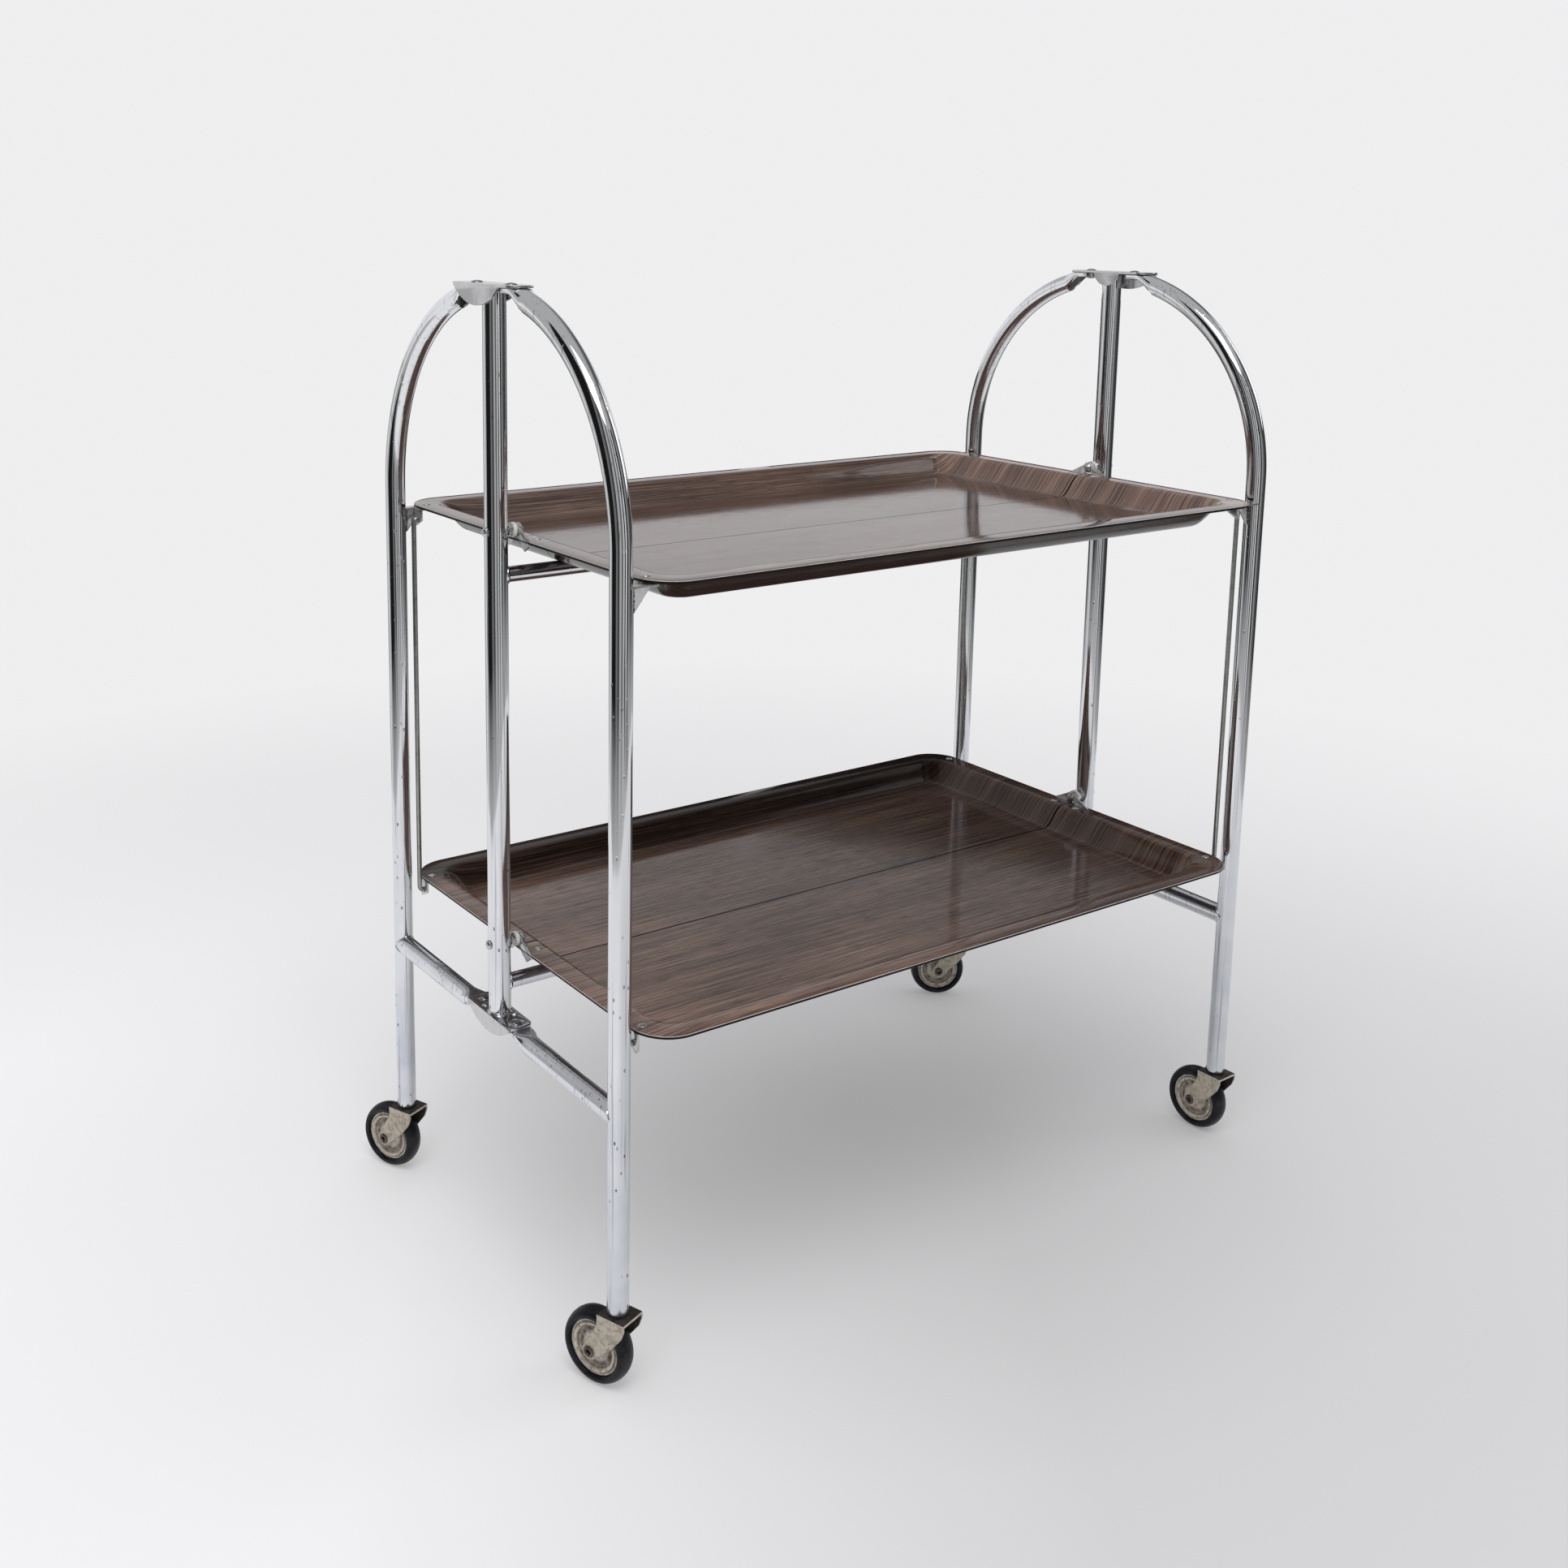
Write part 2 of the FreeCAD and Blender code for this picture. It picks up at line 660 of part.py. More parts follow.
def build_fork(label, side, far, turn):
    """Castor fork pressed from one plate, with its stem riveted in."""
    body = new_node("PartDesign::Body", label)
    outline = sketch_on(body, "XZ_Plane", "outline")
    boss = "fork_boss_radius"
    draw(outline, [
        ("-fork_back", "fork_top"),
        ("-fork_back", "fork_top - fork_back_straight"),
        ("-fork_back + fork_back_knee_inset", "fork_top - fork_back_knee"),
        ("-fork_back + fork_back_waist_inset", "fork_top - fork_back_waist"),
        (f"castor_trail - 0.85 * {boss}", f"wheel_radius - 0.5268 * {boss}"),
        (f"castor_trail + 0.5 * {boss}", f"wheel_radius - 0.866 * {boss}", boss, 1),
        (f"castor_trail + 0.9 * {boss}", f"wheel_radius + 0.4359 * {boss}", boss, 1),
        ("fork_front + fork_front_knee_reach", "fork_top - fork_front_knee"),
        ("fork_front", "fork_top - fork_front_straight"),
        ("fork_front", "fork_top"),
    ])
    pad(body, outline, "fork_width", side="Symmetric")
    room = sketch_on(body, "YZ_Plane", "wheel_room")
    draw_rectangle(room, "-fork_inside / 2", "0", "fork_inside / 2", "fork_top - fork_top_plate")
    cut_through(body, room)
    bore = sketch_on(body, "XZ_Plane", "axle_bore")
    draw_circle(bore, "castor_trail", "wheel_radius", "axle_radius")
    cut_through(body, bore)
    stem = sketch_on(body, "XY_Plane", "stem", "fork_top")
    draw_circle(stem, "0", "0", "stem_radius")
    pad(body, stem, "stem_length")
    at_leg(body, side, far, turn)


def wheel_body(label, side, far, turn):
    """Body of a piece that is turned about the wheel's axle, on the Y axis of its sketches."""
    body = new_node("PartDesign::Body", label)
    at_leg(body, side, far, turn)
    return body


def turn_on_axle(body, sketch):
    """Revolve a section drawn in the XY plane about the axle, and lift it to axle height."""
    sketch.AttachmentOffset = FreeCAD.Placement(FreeCAD.Vector(), FreeCAD.Rotation())
    bind(sketch, "AttachmentOffset.Base.x", "castor_trail")
    bind(sketch, "AttachmentOffset.Base.z", "wheel_radius")
    feature(body, "Revolution", f"turn_{sketch.Name}", Profile=sketch, ReferenceAxis=(sketch, ["V_Axis"]))


def build_disc(label, side, far, turn):
    """Wheel disc of two dished pressings riveted face to face, with a ring bead and a hub."""
    body = wheel_body(label, side, far, turn)
    section = sketch_on(body, "XY_Plane", "section")
    bore = "axle_radius + pivot_fit"
    half_hub = "fork_inside / 2 - hub_gap"
    rim = "tyre_inner_radius"
    profile = [
        (bore, half_hub),
        (bore, f"-({half_hub})"),
        ("hub_radius", f"-({half_hub})"),
        ("hub_radius + disc_flare", "-(disc_web + disc_flare)"),
        (f"{rim} - bead_inner", "-disc_web"),
        (f"{rim} - bead_crest", "-disc_bead"),
        (rim, "-(disc_web + disc_lip)"),
        (rim, "disc_web + disc_lip"),
        (f"{rim} - bead_crest", "disc_bead"),
        (f"{rim} - bead_inner", "disc_web"),
        ("hub_radius + disc_flare", "disc_web + disc_flare"),
        ("hub_radius", half_hub),
    ]
    draw(section, profile)
    turn_on_axle(body, section)


def build_tyre(label, side, far, turn):
    """Solid rubber tyre with a rounded tread."""
    body = wheel_body(label, side, far, turn)
    section = sketch_on(body, "XY_Plane", "section")
    half, shoulder = "tyre_width / 2", "wheel_radius - tread_rise"
    crown = f"(({half}) ^ 2 + tread_rise ^ 2) / (2 * tread_rise)"
    chamfered = "tyre_inner_radius + tyre_chamfer_depth"
    draw(section, [
        ("tyre_inner_radius", f"-({half} - tyre_chamfer)"),
        (chamfered, f"-({half})"),
        (shoulder, f"-({half})"),
        (shoulder, half, crown, 1),
        (chamfered, half),
        ("tyre_inner_radius", f"{half} - tyre_chamfer"),
    ])
    turn_on_axle(body, section)


def build_axle(label, side, far, turn):
    """Axle rivet with a domed head outside each cheek of the fork."""
    body = wheel_body(label, side, far, turn)
    section = sketch_on(body, "XY_Plane", "section")
    outside = "fork_width / 2"
    end = "fork_width / 2 + axle_head_height"
    crown = "(axle_head_radius ^ 2 + axle_head_height ^ 2) / (2 * axle_head_height)"
    draw(section, [
        ("0", f"-({end})"),
        ("axle_head_radius", f"-({outside})", crown, 1),
        ("axle_radius", f"-({outside})"),
        ("axle_radius", outside),
        ("axle_head_radius", outside),
        ("0", end, crown, 1),
    ])
    turn_on_axle(body, section)


# Trays


def draw_pan(sketch, inset, seam):
    """Outline of half a tray, drawn in by an inset, closed along the seam."""
    long = f"(tray_half_length - ({inset}))"
    wide = f"(tray_half_width - ({inset}))"
    corner = f"(rim_corner - corner_fall * ({inset}))"
    draw(sketch, [
        (f"-{long}", seam),
        (f"-{long}", f"-({wide} - {corner})"),
        (f"-({long} - {corner})", f"-{wide}", corner, 1),
        (f"{long} - {corner}", f"-{wide}"),
        (long, f"-({wide} - {corner})", corner, 1),
        (long, seam),
    ])


def loft_wall(body, kind, name, tier, drop, seam):
    """Loft the tray's ogee wall from the rim's inner edge down to the floor."""
    sections = []
    for step in range(WALL_STEPS + 1):
        share = step / WALL_STEPS
        fall = (1 - math.cos(math.pi * share)) / 2
        level = f"{tier}_rim_z - {drop} - {fall:.4f} * wall_depth"
        section = sketch_on(body, "XY_Plane", f"{name}_{step}", level)
        draw_pan(section, f"rim_width + {share:.2f} * wall_run", seam)
        sections.append(section)
    return feature(body, kind, f"{name}_loft", Profile=sections[0], Sections=sections[1:], Ruled=True)


def build_tray_half(label, tier, far):
    """Half of a pressed tray: flat rim, ogee wall and floor, with slots for its ears."""
    body = new_node("PartDesign::Body", label)
    edge = "-seam_gap / 2"
    rim = sketch_on(body, "XY_Plane", "rim", f"{tier}_rim_z")
    draw_pan(rim, "0", edge)
    pad(body, rim, "tray_thickness", back=True)
    loft_wall(body, "AdditiveLoft", "under", tier, "tray_thickness", edge)
    loft_wall(body, "SubtractiveLoft", "inside", tier, "0", "0")
    holes = sketch_on(body, "XY_Plane", "rivet_holes", f"{tier}_rim_z")
    for side in (-1, 1):
        draw_circle(holes, f"{side} * end_rivet_x", "-end_rivet_y", "tray_rivet_radius")
        draw_circle(holes, f"{side} * corner_rivet_x", "-rod_y", "tray_rivet_radius")
    pocket(body, holes, "tray_thickness")
    slots = sketch_on(body, "XY_Plane", "ear_slots", f"{tier}_rim_z")
    for side, ear_face in ((-1, "tray_half_length"), (1, "inner_ear_x")):
        faces = (f"{side} * {ear_face}", f"{side} * ({ear_face} - ear_thickness)")
        draw_rectangle(slots, min(faces, key=number), "-flange_end", max(faces, key=number), "-ear_root")
    pocket(body, slots, "tray_thickness")
    on_far_side(body, far)


def ear_outline(axis_z, rim_z):
    """Outline of a seam ear, from the bolt's eye through the rim to its hanging toe."""
    eye, tangent = "ear_eye_radius", "eye_tangent"
    under = f"{rim_z} - tray_thickness"
    return [
        ("-flange_end", under),
        ("-ear_toe", f"{under} - ear_hang"),
        ("-ear_root", under),
        ("-ear_root", rim_z),
        (f"-{tangent}", f"{axis_z} - {tangent}"),
        (tangent, f"{axis_z} - {tangent}", eye, 1),
        (tangent, f"{axis_z} + {tangent}", eye, 1),
        (f"-{tangent}", f"{axis_z} + {tangent}", eye, 1),
        ("-flange_end", rim_z),
    ]


def build_tray_fittings(label, tier, far):
    """Two seam ears and two corner tabs of a tray half, four pressings riveted to its rim."""
    rim_z, axis_z = f"{tier}_rim_z", f"{tier}_hinge_z"
    pieces = []
    for side, ear_face in ((-1, "tray_half_length"), (1, "inner_ear_x")):
        ear = doc.addObject("PartDesign::Body", f"{label}_ear_{len(pieces) + 1}")
        plate = sketch_on(ear, "YZ_Plane", "plate", f"{side} * {ear_face}")
        draw(plate, ear_outline(axis_z, rim_z))
        pad(ear, plate, "ear_thickness", back=side > 0)
        flange = sketch_on(ear, "XY_Plane", "flange", f"{rim_z} - tray_thickness")
        draw(flange, flange_outline(side, ear_face))
        pad(ear, flange, "flange_thickness", back=True)
        eye = sketch_on(ear, "YZ_Plane", "eye")
        draw_circle(eye, "0", axis_z, "bolt_radius + pivot_fit")
        cut_through(ear, eye)
        hole = sketch_on(ear, "XY_Plane", "rivet_hole")
        draw_circle(hole, f"{side} * end_rivet_x", "-end_rivet_y", "tray_rivet_radius")
        cut_through(ear, hole)
        pieces.append(ear)
    for side in (-1, 1):
        pieces.append(build_corner_tab(f"{label}_tab_{len(pieces) - 1}", tier, side))
    group = new_node("Part::Compound", label)
    group.Links = pieces
    on_far_side(group, far)


def flange_outline(side, ear_face):
    """Outline of a seam ear's flange under the tray's rim, rounded at its inner end."""
    radius = "(flange_end - flange_start) / 2"
    middle = "-(flange_end + flange_start) / 2"
    inner = f"(tray_half_length - flange_depth + {radius})"
    return [
        (f"{side} * {ear_face}", "-flange_end"),
        (f"{side} * {ear_face}", "-flange_start"),
        (f"{side} * {inner}", "-flange_start"),
        (f"{side} * ({inner} - {radius})", middle, radius, side),
        (f"{side} * {inner}", "-flange_end", radius, side),
    ]


def build_corner_tab(name, tier, side):
    """Angle under the rim's corner, its hanging tab drilled for a link rod."""
    under = f"{tier}_rim_z - tray_thickness"
    tab = doc.addObject("PartDesign::Body", name)
    half = "corner_tab_width / 2"
    plate = sketch_on(tab, "YZ_Plane", "plate", f"{side} * tab_face_x")
    hole = f"({tier}_rim_z - rod_drop)"
    draw(plate, [
        (f"-rod_y - {half}", under),
        (f"-rod_y - {half}", f"{hole} - tab_outer_drop"),
        ("-rod_y - tab_tip_reach", f"{hole} - tab_tip_drop"),
        (f"-rod_y + {half}", f"{hole} - tab_inner_drop"),
        (f"-rod_y + {half}", under),
    ])
    pad(tab, plate, "ear_thickness", back=side > 0)
    flange = sketch_on(tab, "XY_Plane", "flange", under)
    draw_rectangle(
        flange, f"{side} * tab_face_x", f"-rod_y - {half}",
        f"{side} * (tab_face_x - corner_flange_depth)", f"-rod_y + {half}")
    pad(tab, flange, "ear_thickness", back=True)
    bore = sketch_on(tab, "YZ_Plane", "peg_hole")
    fit = "pivot_fit" if tier == "upper" else "open_pivot_gap"
    draw_circle(bore, "-rod_y", hole, f"rod_radius + {fit}")
    cut_through(tab, bore)
    drilled = sketch_on(tab, "XY_Plane", "rivet_hole")
    draw_circle(drilled, f"{side} * corner_rivet_x", "-rod_y", "tray_rivet_radius")
    cut_through(tab, drilled)
    return tab


def build_tray_rivets(label, tier, far, profiles):
    """Rivets of a tray half: one through each seam ear, one through each corner tab."""
    rivets = []
    spots = (("end", "end_rivet_x", "-end_rivet_y", f"{tier}_rim_z"),
             ("corner", "corner_rivet_x", "-rod_y", f"{tier}_rim_z"))
    for side in (-1, 1):
        for kind, x, y, z in spots:
            name = f"{label}_{len(rivets) + 1}"
            spot = (f"{side} * {x}", y, z)
            rivets.append(turned(name, profiles[kind], FreeCAD.Vector(0, 0, 1), spot))
    group = new_node("Part::Compound", label)
    group.Links = rivets
    on_far_side(group, far)


# Tray hinge bolts, nuts and washers, and the link rods


def axle_profile(label, corners):
    """Half section of a piece turned about X, drawn with X along it and Y as its radius."""
    sketch = doc.addObject("Sketcher::SketchObject", label)
    draw(sketch, corners)
    return sketch


def disc_profile(label, start, thickness, inner, outer):
    """Half section of a washer about X."""
    return axle_profile(label, [
        (start, inner),
        (f"{start} + {thickness}", inner),
        (f"{start} + {thickness}", outer),
        (start, outer),
    ])


def along_hinges(label, profile):
    """One copy of a turned piece at each end of each tray hinge."""
    copies = []
    for tier in TIERS:
        for side in (-1, 1):
            spot = ("0", "0", f"{tier}_hinge_z")
            name = f"{label}_{tier}_{'left' if side < 0 else 'right'}"
            copies.append(turned(name, profile, FreeCAD.Vector(1, 0, 0), spot, end_for_end=side < 0))
    return copies


def build_hinge_bolts(label):
    """Hinge bolts with a low head outside the post and a peened inner end, and their nuts."""
    head_start = "post_x + post_radius"
    head_end = f"{head_start} + bolt_head_height"
    bolt = axle_profile("hinge_bolt_profile", [
        ("dome_x - dome_height", "0"),
        (head_end, "0"),
        (head_end, "bolt_head_radius - bolt_head_chamfer"),
        (f"{head_end} - bolt_head_chamfer", "bolt_head_radius"),
        (head_start, "bolt_head_radius"),
        (head_start, "bolt_radius"),
        ("dome_x", "bolt_radius"),
        ("dome_x", "dome_radius"),
        ("dome_x - dome_height", "dome_radius - dome_height"),
    ])
    pieces = along_hinges("hinge_bolt", bolt)
    for tier in TIERS:
        for side in (-1, 1):
            pieces.append(build_nut(f"hinge_nut_{len(pieces) - 3}", tier, side))
    new_node("Part::Compound", label).Links = pieces


def build_nut(name, tier, side):
    """Hexagon nut that clamps the hinge bolt to the post."""
    blank = doc.addObject("Part::Prism", f"{name}_blank")
    blank.Polygon = 6
    bind(blank, "Circumradius", "nut_radius")
    bind(blank, "Height", "nut_thickness")
    bore = doc.addObject("Part::Cylinder", f"{name}_bore")
    bind(bore, "Radius", "bolt_radius")
    bind(bore, "Height", "nut_thickness")
    nut = doc.addObject("Part::Cut", name)
    nut.Base = blank
    nut.Tool = bore
    turn = FreeCAD.Rotation(FreeCAD.Vector(0, 1, 0), 90 * side)
    nut.Placement = FreeCAD.Placement(FreeCAD.Vector(), turn)
    bind(nut, "Placement.Base.x", f"{side} * nut_x")
    bind(nut, "Placement.Base.z", f"{tier}_hinge_z")
    return nut


def build_washers(label):
    """White washers outside the ears and a thin one between each pair of ears."""
    bore = "bolt_radius"
    thin_start = "inner_ear_x + (ear_step - ear_thickness - thin_washer_thickness) / 2"
    pieces = []
    for name, start, thickness, outer in (
            ("washer_one", "washer_one_x", "washer_thickness", "washer_radius"),
            ("washer_two", "washer_two_x", "washer_thickness", "washer_radius"),
            ("thin_washer", thin_start, "thin_washer_thickness", "thin_washer_radius")):
        profile = disc_profile(f"{name}_profile", start, thickness, bore, outer)
        pieces += along_hinges(name, profile)
    new_node("Part::Compound", label).Links = pieces


def build_link_rod(label, side, far):
    """Wire rod with both ends bent into pegs, from the upper half's tab to the lower half's."""
    body = new_node("PartDesign::Body", label)
    inward = -side if not far else side
    top, foot = "(upper_rim_z - rod_drop)", "(lower_rim_z - rod_drop)"
    bend = "rod_bend"
    peg = f"{inward} * (rod_x - peg_end_x)"
    near_bend = f"{inward} * {bend}"
    section = sketch_on(body, "YZ_Plane", "section", peg)
    draw_circle(section, "0", top, "rod_radius")
    path = sketch_on(body, "XZ_Plane", "path")
    draw(path, [
        (peg, top),
        (near_bend, top),
        ("0", f"{top} - {bend}", bend, inward),
        ("0", f"{foot} + {bend}"),
        (near_bend, foot, bend, inward),
        (peg, foot),
    ], closed=False)
    edges = [f"Edge{count}" for count in range(1, 6)]
    feature(body, "AdditivePipe", "bends", Profile=section, Spine=(path, edges))
    body.Placement = FreeCAD.Placement(FreeCAD.Vector(), FreeCAD.Rotation(180.0 if far else 0.0, 0, 0))
    bind(body, "Placement.Base.x", f"{side} * rod_x")
    bind(body, "Placement.Base.y", "rod_y" if far else "-rod_y")


# The whole trolley


def build_trolley():
    """Make every sub-part."""
    for side, hand in ((-1, "left"), (1, "right")):
        build_post(f"post_{hand}", side)
        build_bracket(f"top_bracket_{hand}", side, True)
        build_bracket(f"foot_bracket_{hand}", side, False)
    for tier in TIERS:
        build_stretcher(f"{tier}_stretcher", tier)
    build_frame_rivets("frame_rivets")
    build_hinge_bolts("tray_hinge_bolts")
    build_washers("tray_hinge_washers")
    for corner, side, far in CORNERS:
        turn = number(f"castor_turn_{corner}")
        build_leg_arch(f"leg_arch_{corner}", side, far)
        build_strut(f"foot_strut_{corner}", side, far)
        build_gusset(f"tray_gusset_{corner}", side, far)
        build_castor_bush(f"castor_bush_{corner}", side, far)
        build_fork(f"castor_fork_{corner}", side, far, turn)
        build_disc(f"wheel_disc_{corner}", side, far, turn)
        build_tyre(f"tyre_{corner}", side, far, turn)
        build_axle(f"castor_axle_{corner}", side, far, turn)
        build_link_rod(f"link_rod_{corner}", side, far)
    rivet_sizes = ("tray_rivet_radius", "tray_rivet_head", "tray_rivet_height")
    profiles = {
        "end": rivet_profile("end_rivet_profile", *rivet_sizes, "flange_thickness + tray_thickness"),
        "corner": rivet_profile("corner_rivet_profile", *rivet_sizes, "tray_thickness + ear_thickness"),
    }
    for tier in TIERS:
        for hand, far in (("near", False), ("far", True)):
            build_tray_half(f"{tier}_tray_{hand}", tier, far)
            build_tray_fittings(f"{tier}_fittings_{hand}", tier, far)
            build_tray_rivets(f"{tier}_rivets_{hand}", tier, far, profiles)


def check_document():
    """Stop if any object failed or any sub-part has no sound shape."""
    for item in doc.Objects:
        if {"Invalid", "Error"} & set(item.State):
            raise RuntimeError(f"{item.Label} failed: {item.State}")
    for item in nodes:
        if item.Shape.isNull() or not item.Shape.isValid() or not item.Shape.Solids:
            raise RuntimeError(f"{item.Label} has no sound shape")


def export_parts():
    """Write each sub-part to its own STEP file."""
    os.makedirs("parts", exist_ok=True)
    for item in nodes:
        item.Shape.exportStep(os.path.join("parts", f"{item.Label}.step"))


build_trolley()
doc.recompute()
check_document()
export_parts()
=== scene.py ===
"""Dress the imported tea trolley: chromed tubes, wood-grain trays, pressings and castors.

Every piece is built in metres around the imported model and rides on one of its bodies.
Sizes of the trolley are in millimetres, sizes in a finish in metres.
"""

import logging
import math
from collections.abc import Callable, Iterable, Iterator, Sequence
from contextlib import contextmanager
from dataclasses import dataclass, field
from enum import Enum

import bmesh
import bpy
from mathutils import Matrix, Vector


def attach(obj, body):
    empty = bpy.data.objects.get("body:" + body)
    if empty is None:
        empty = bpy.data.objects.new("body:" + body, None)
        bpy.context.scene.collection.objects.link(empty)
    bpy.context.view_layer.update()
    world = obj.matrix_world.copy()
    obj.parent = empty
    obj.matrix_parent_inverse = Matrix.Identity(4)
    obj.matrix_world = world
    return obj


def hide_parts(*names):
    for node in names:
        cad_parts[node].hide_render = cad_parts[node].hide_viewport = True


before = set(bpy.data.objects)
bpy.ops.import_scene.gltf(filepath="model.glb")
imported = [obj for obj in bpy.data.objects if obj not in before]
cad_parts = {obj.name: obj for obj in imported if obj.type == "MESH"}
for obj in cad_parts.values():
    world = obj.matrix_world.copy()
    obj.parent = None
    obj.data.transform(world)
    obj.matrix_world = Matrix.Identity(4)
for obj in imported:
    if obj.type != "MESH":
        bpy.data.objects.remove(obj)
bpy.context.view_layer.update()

LOG = logging.getLogger("tea_trolley")
MM = 0.001
QUARTER = math.pi / 2
ENDS = ((-1, "left"), (1, "right"))
SIDES = ((-1, "near"), (1, "far"))
UPRIGHT = Matrix(((0, 0, 1, 0), (0, 1, 0, 0), (-1, 0, 0, 0), (0, 0, 0, 1))).inverted()
Colour = tuple[float, float, float]
Point = tuple[float, float, float]
Range = tuple[float, float, float, float]
Ring = list[Vector]
Profile = list[tuple[float, float]]
Socket = bpy.types.NodeSocket
Material = bpy.types.Material
Thing = bpy.types.Object


class Corner(Enum):
    """The four corners of the trolley, each with its end and its side."""

    NEAR_LEFT = ("near_left", -1, -1)
    NEAR_RIGHT = ("near_right", 1, -1)
    FAR_LEFT = ("far_left", -1, 1)
    FAR_RIGHT = ("far_right", 1, 1)

    @property
    def label(self) -> str:
        """Name of the corner in node and body names."""
        return self.value[0]

    @property
    def end(self) -> int:
        """-1 at the left-hand end, 1 at the right-hand end."""
        return self.value[1]

    @property
    def side(self) -> int:
        """-1 on the near side, 1 on the far side."""
        return self.value[2]

    @property
    def hoop(self) -> str:
        """Name of the body that its leg belongs to."""
        return f"half_hoop_{self.label}"


class Tier(Enum):
    """The two trays, each with the height of its rim's top face."""

    UPPER = ("upper", 589.0)
    LOWER = ("lower", 268.0)

    @property
    def label(self) -> str:
        """Name of the tier in node and body names."""
        return self.value[0]

    @property
    def rim(self) -> float:
        """Height of the rim's top face."""
        return self.value[1]


# Node trees and finishes


class Nodes:
    """A node tree, with short calls that fill it."""

    def __init__(self, tree: bpy.types.NodeTree) -> None:
        """Empty a tree and keep it."""
        self.tree = tree
        tree.nodes.clear()

    def feed(self, socket: Socket, value: object) -> None:
        """Link a socket to another one, or set its value.

        Args:
            socket: Input to fill.
            value: An output socket, or a plain value.
        """
        if isinstance(value, Socket):
            self.tree.links.new(value, socket)
        else:
            socket.default_value = value

    def node(self, kind: str, inputs: dict[str | int, object] | None = None,
             **settings: object) -> bpy.types.Node:
        """Add a node.

        Args:
            kind: Blender's type name of the node.
            inputs: What each input is fed, by name or index.
            settings: Attributes of the node.

        Returns:
            The new node.
        """
        item = self.tree.nodes.new(kind)
        for key, setting in settings.items():
            setattr(item, key, setting)
        for key, value in (inputs or {}).items():
            self.feed(item.inputs[key], value)
        return item

    def span(self, value: object, low: float, high: float, new_low: object, new_high: object) -> Socket:
        """Map a value from one range to another, held inside it."""
        inputs = {"Value": value, "From Min": low, "From Max": high, "To Min": new_low, "To Max": new_high}
        return self.node("ShaderNodeMapRange", inputs).outputs["Result"]

    def math(self, operation: str, first: object, second: object) -> Socket:
        """Combine two values."""
        return self.node("ShaderNodeMath", {0: first, 1: second}, operation=operation).outputs[0]

    def times(self, first: object, second: object) -> Socket:
        """Multiply two values."""
        return self.math("MULTIPLY", first, second)

    def blend(self, factor: object, first: object, second: object) -> Socket:
        """Blend two colours.

        Args:
            factor: 0 for the first colour, 1 for the second.
            first: A colour, or an output socket.
            second: A colour, or an output socket.

        Returns:
            The blended colour.
        """
        pair = [c if isinstance(c, Socket) else (*c, 1.0) for c in (first, second)]
        inputs = {"Factor": factor, 6: pair[0], 7: pair[1]}
        return self.node("ShaderNodeMix", inputs, data_type="RGBA").outputs[2]


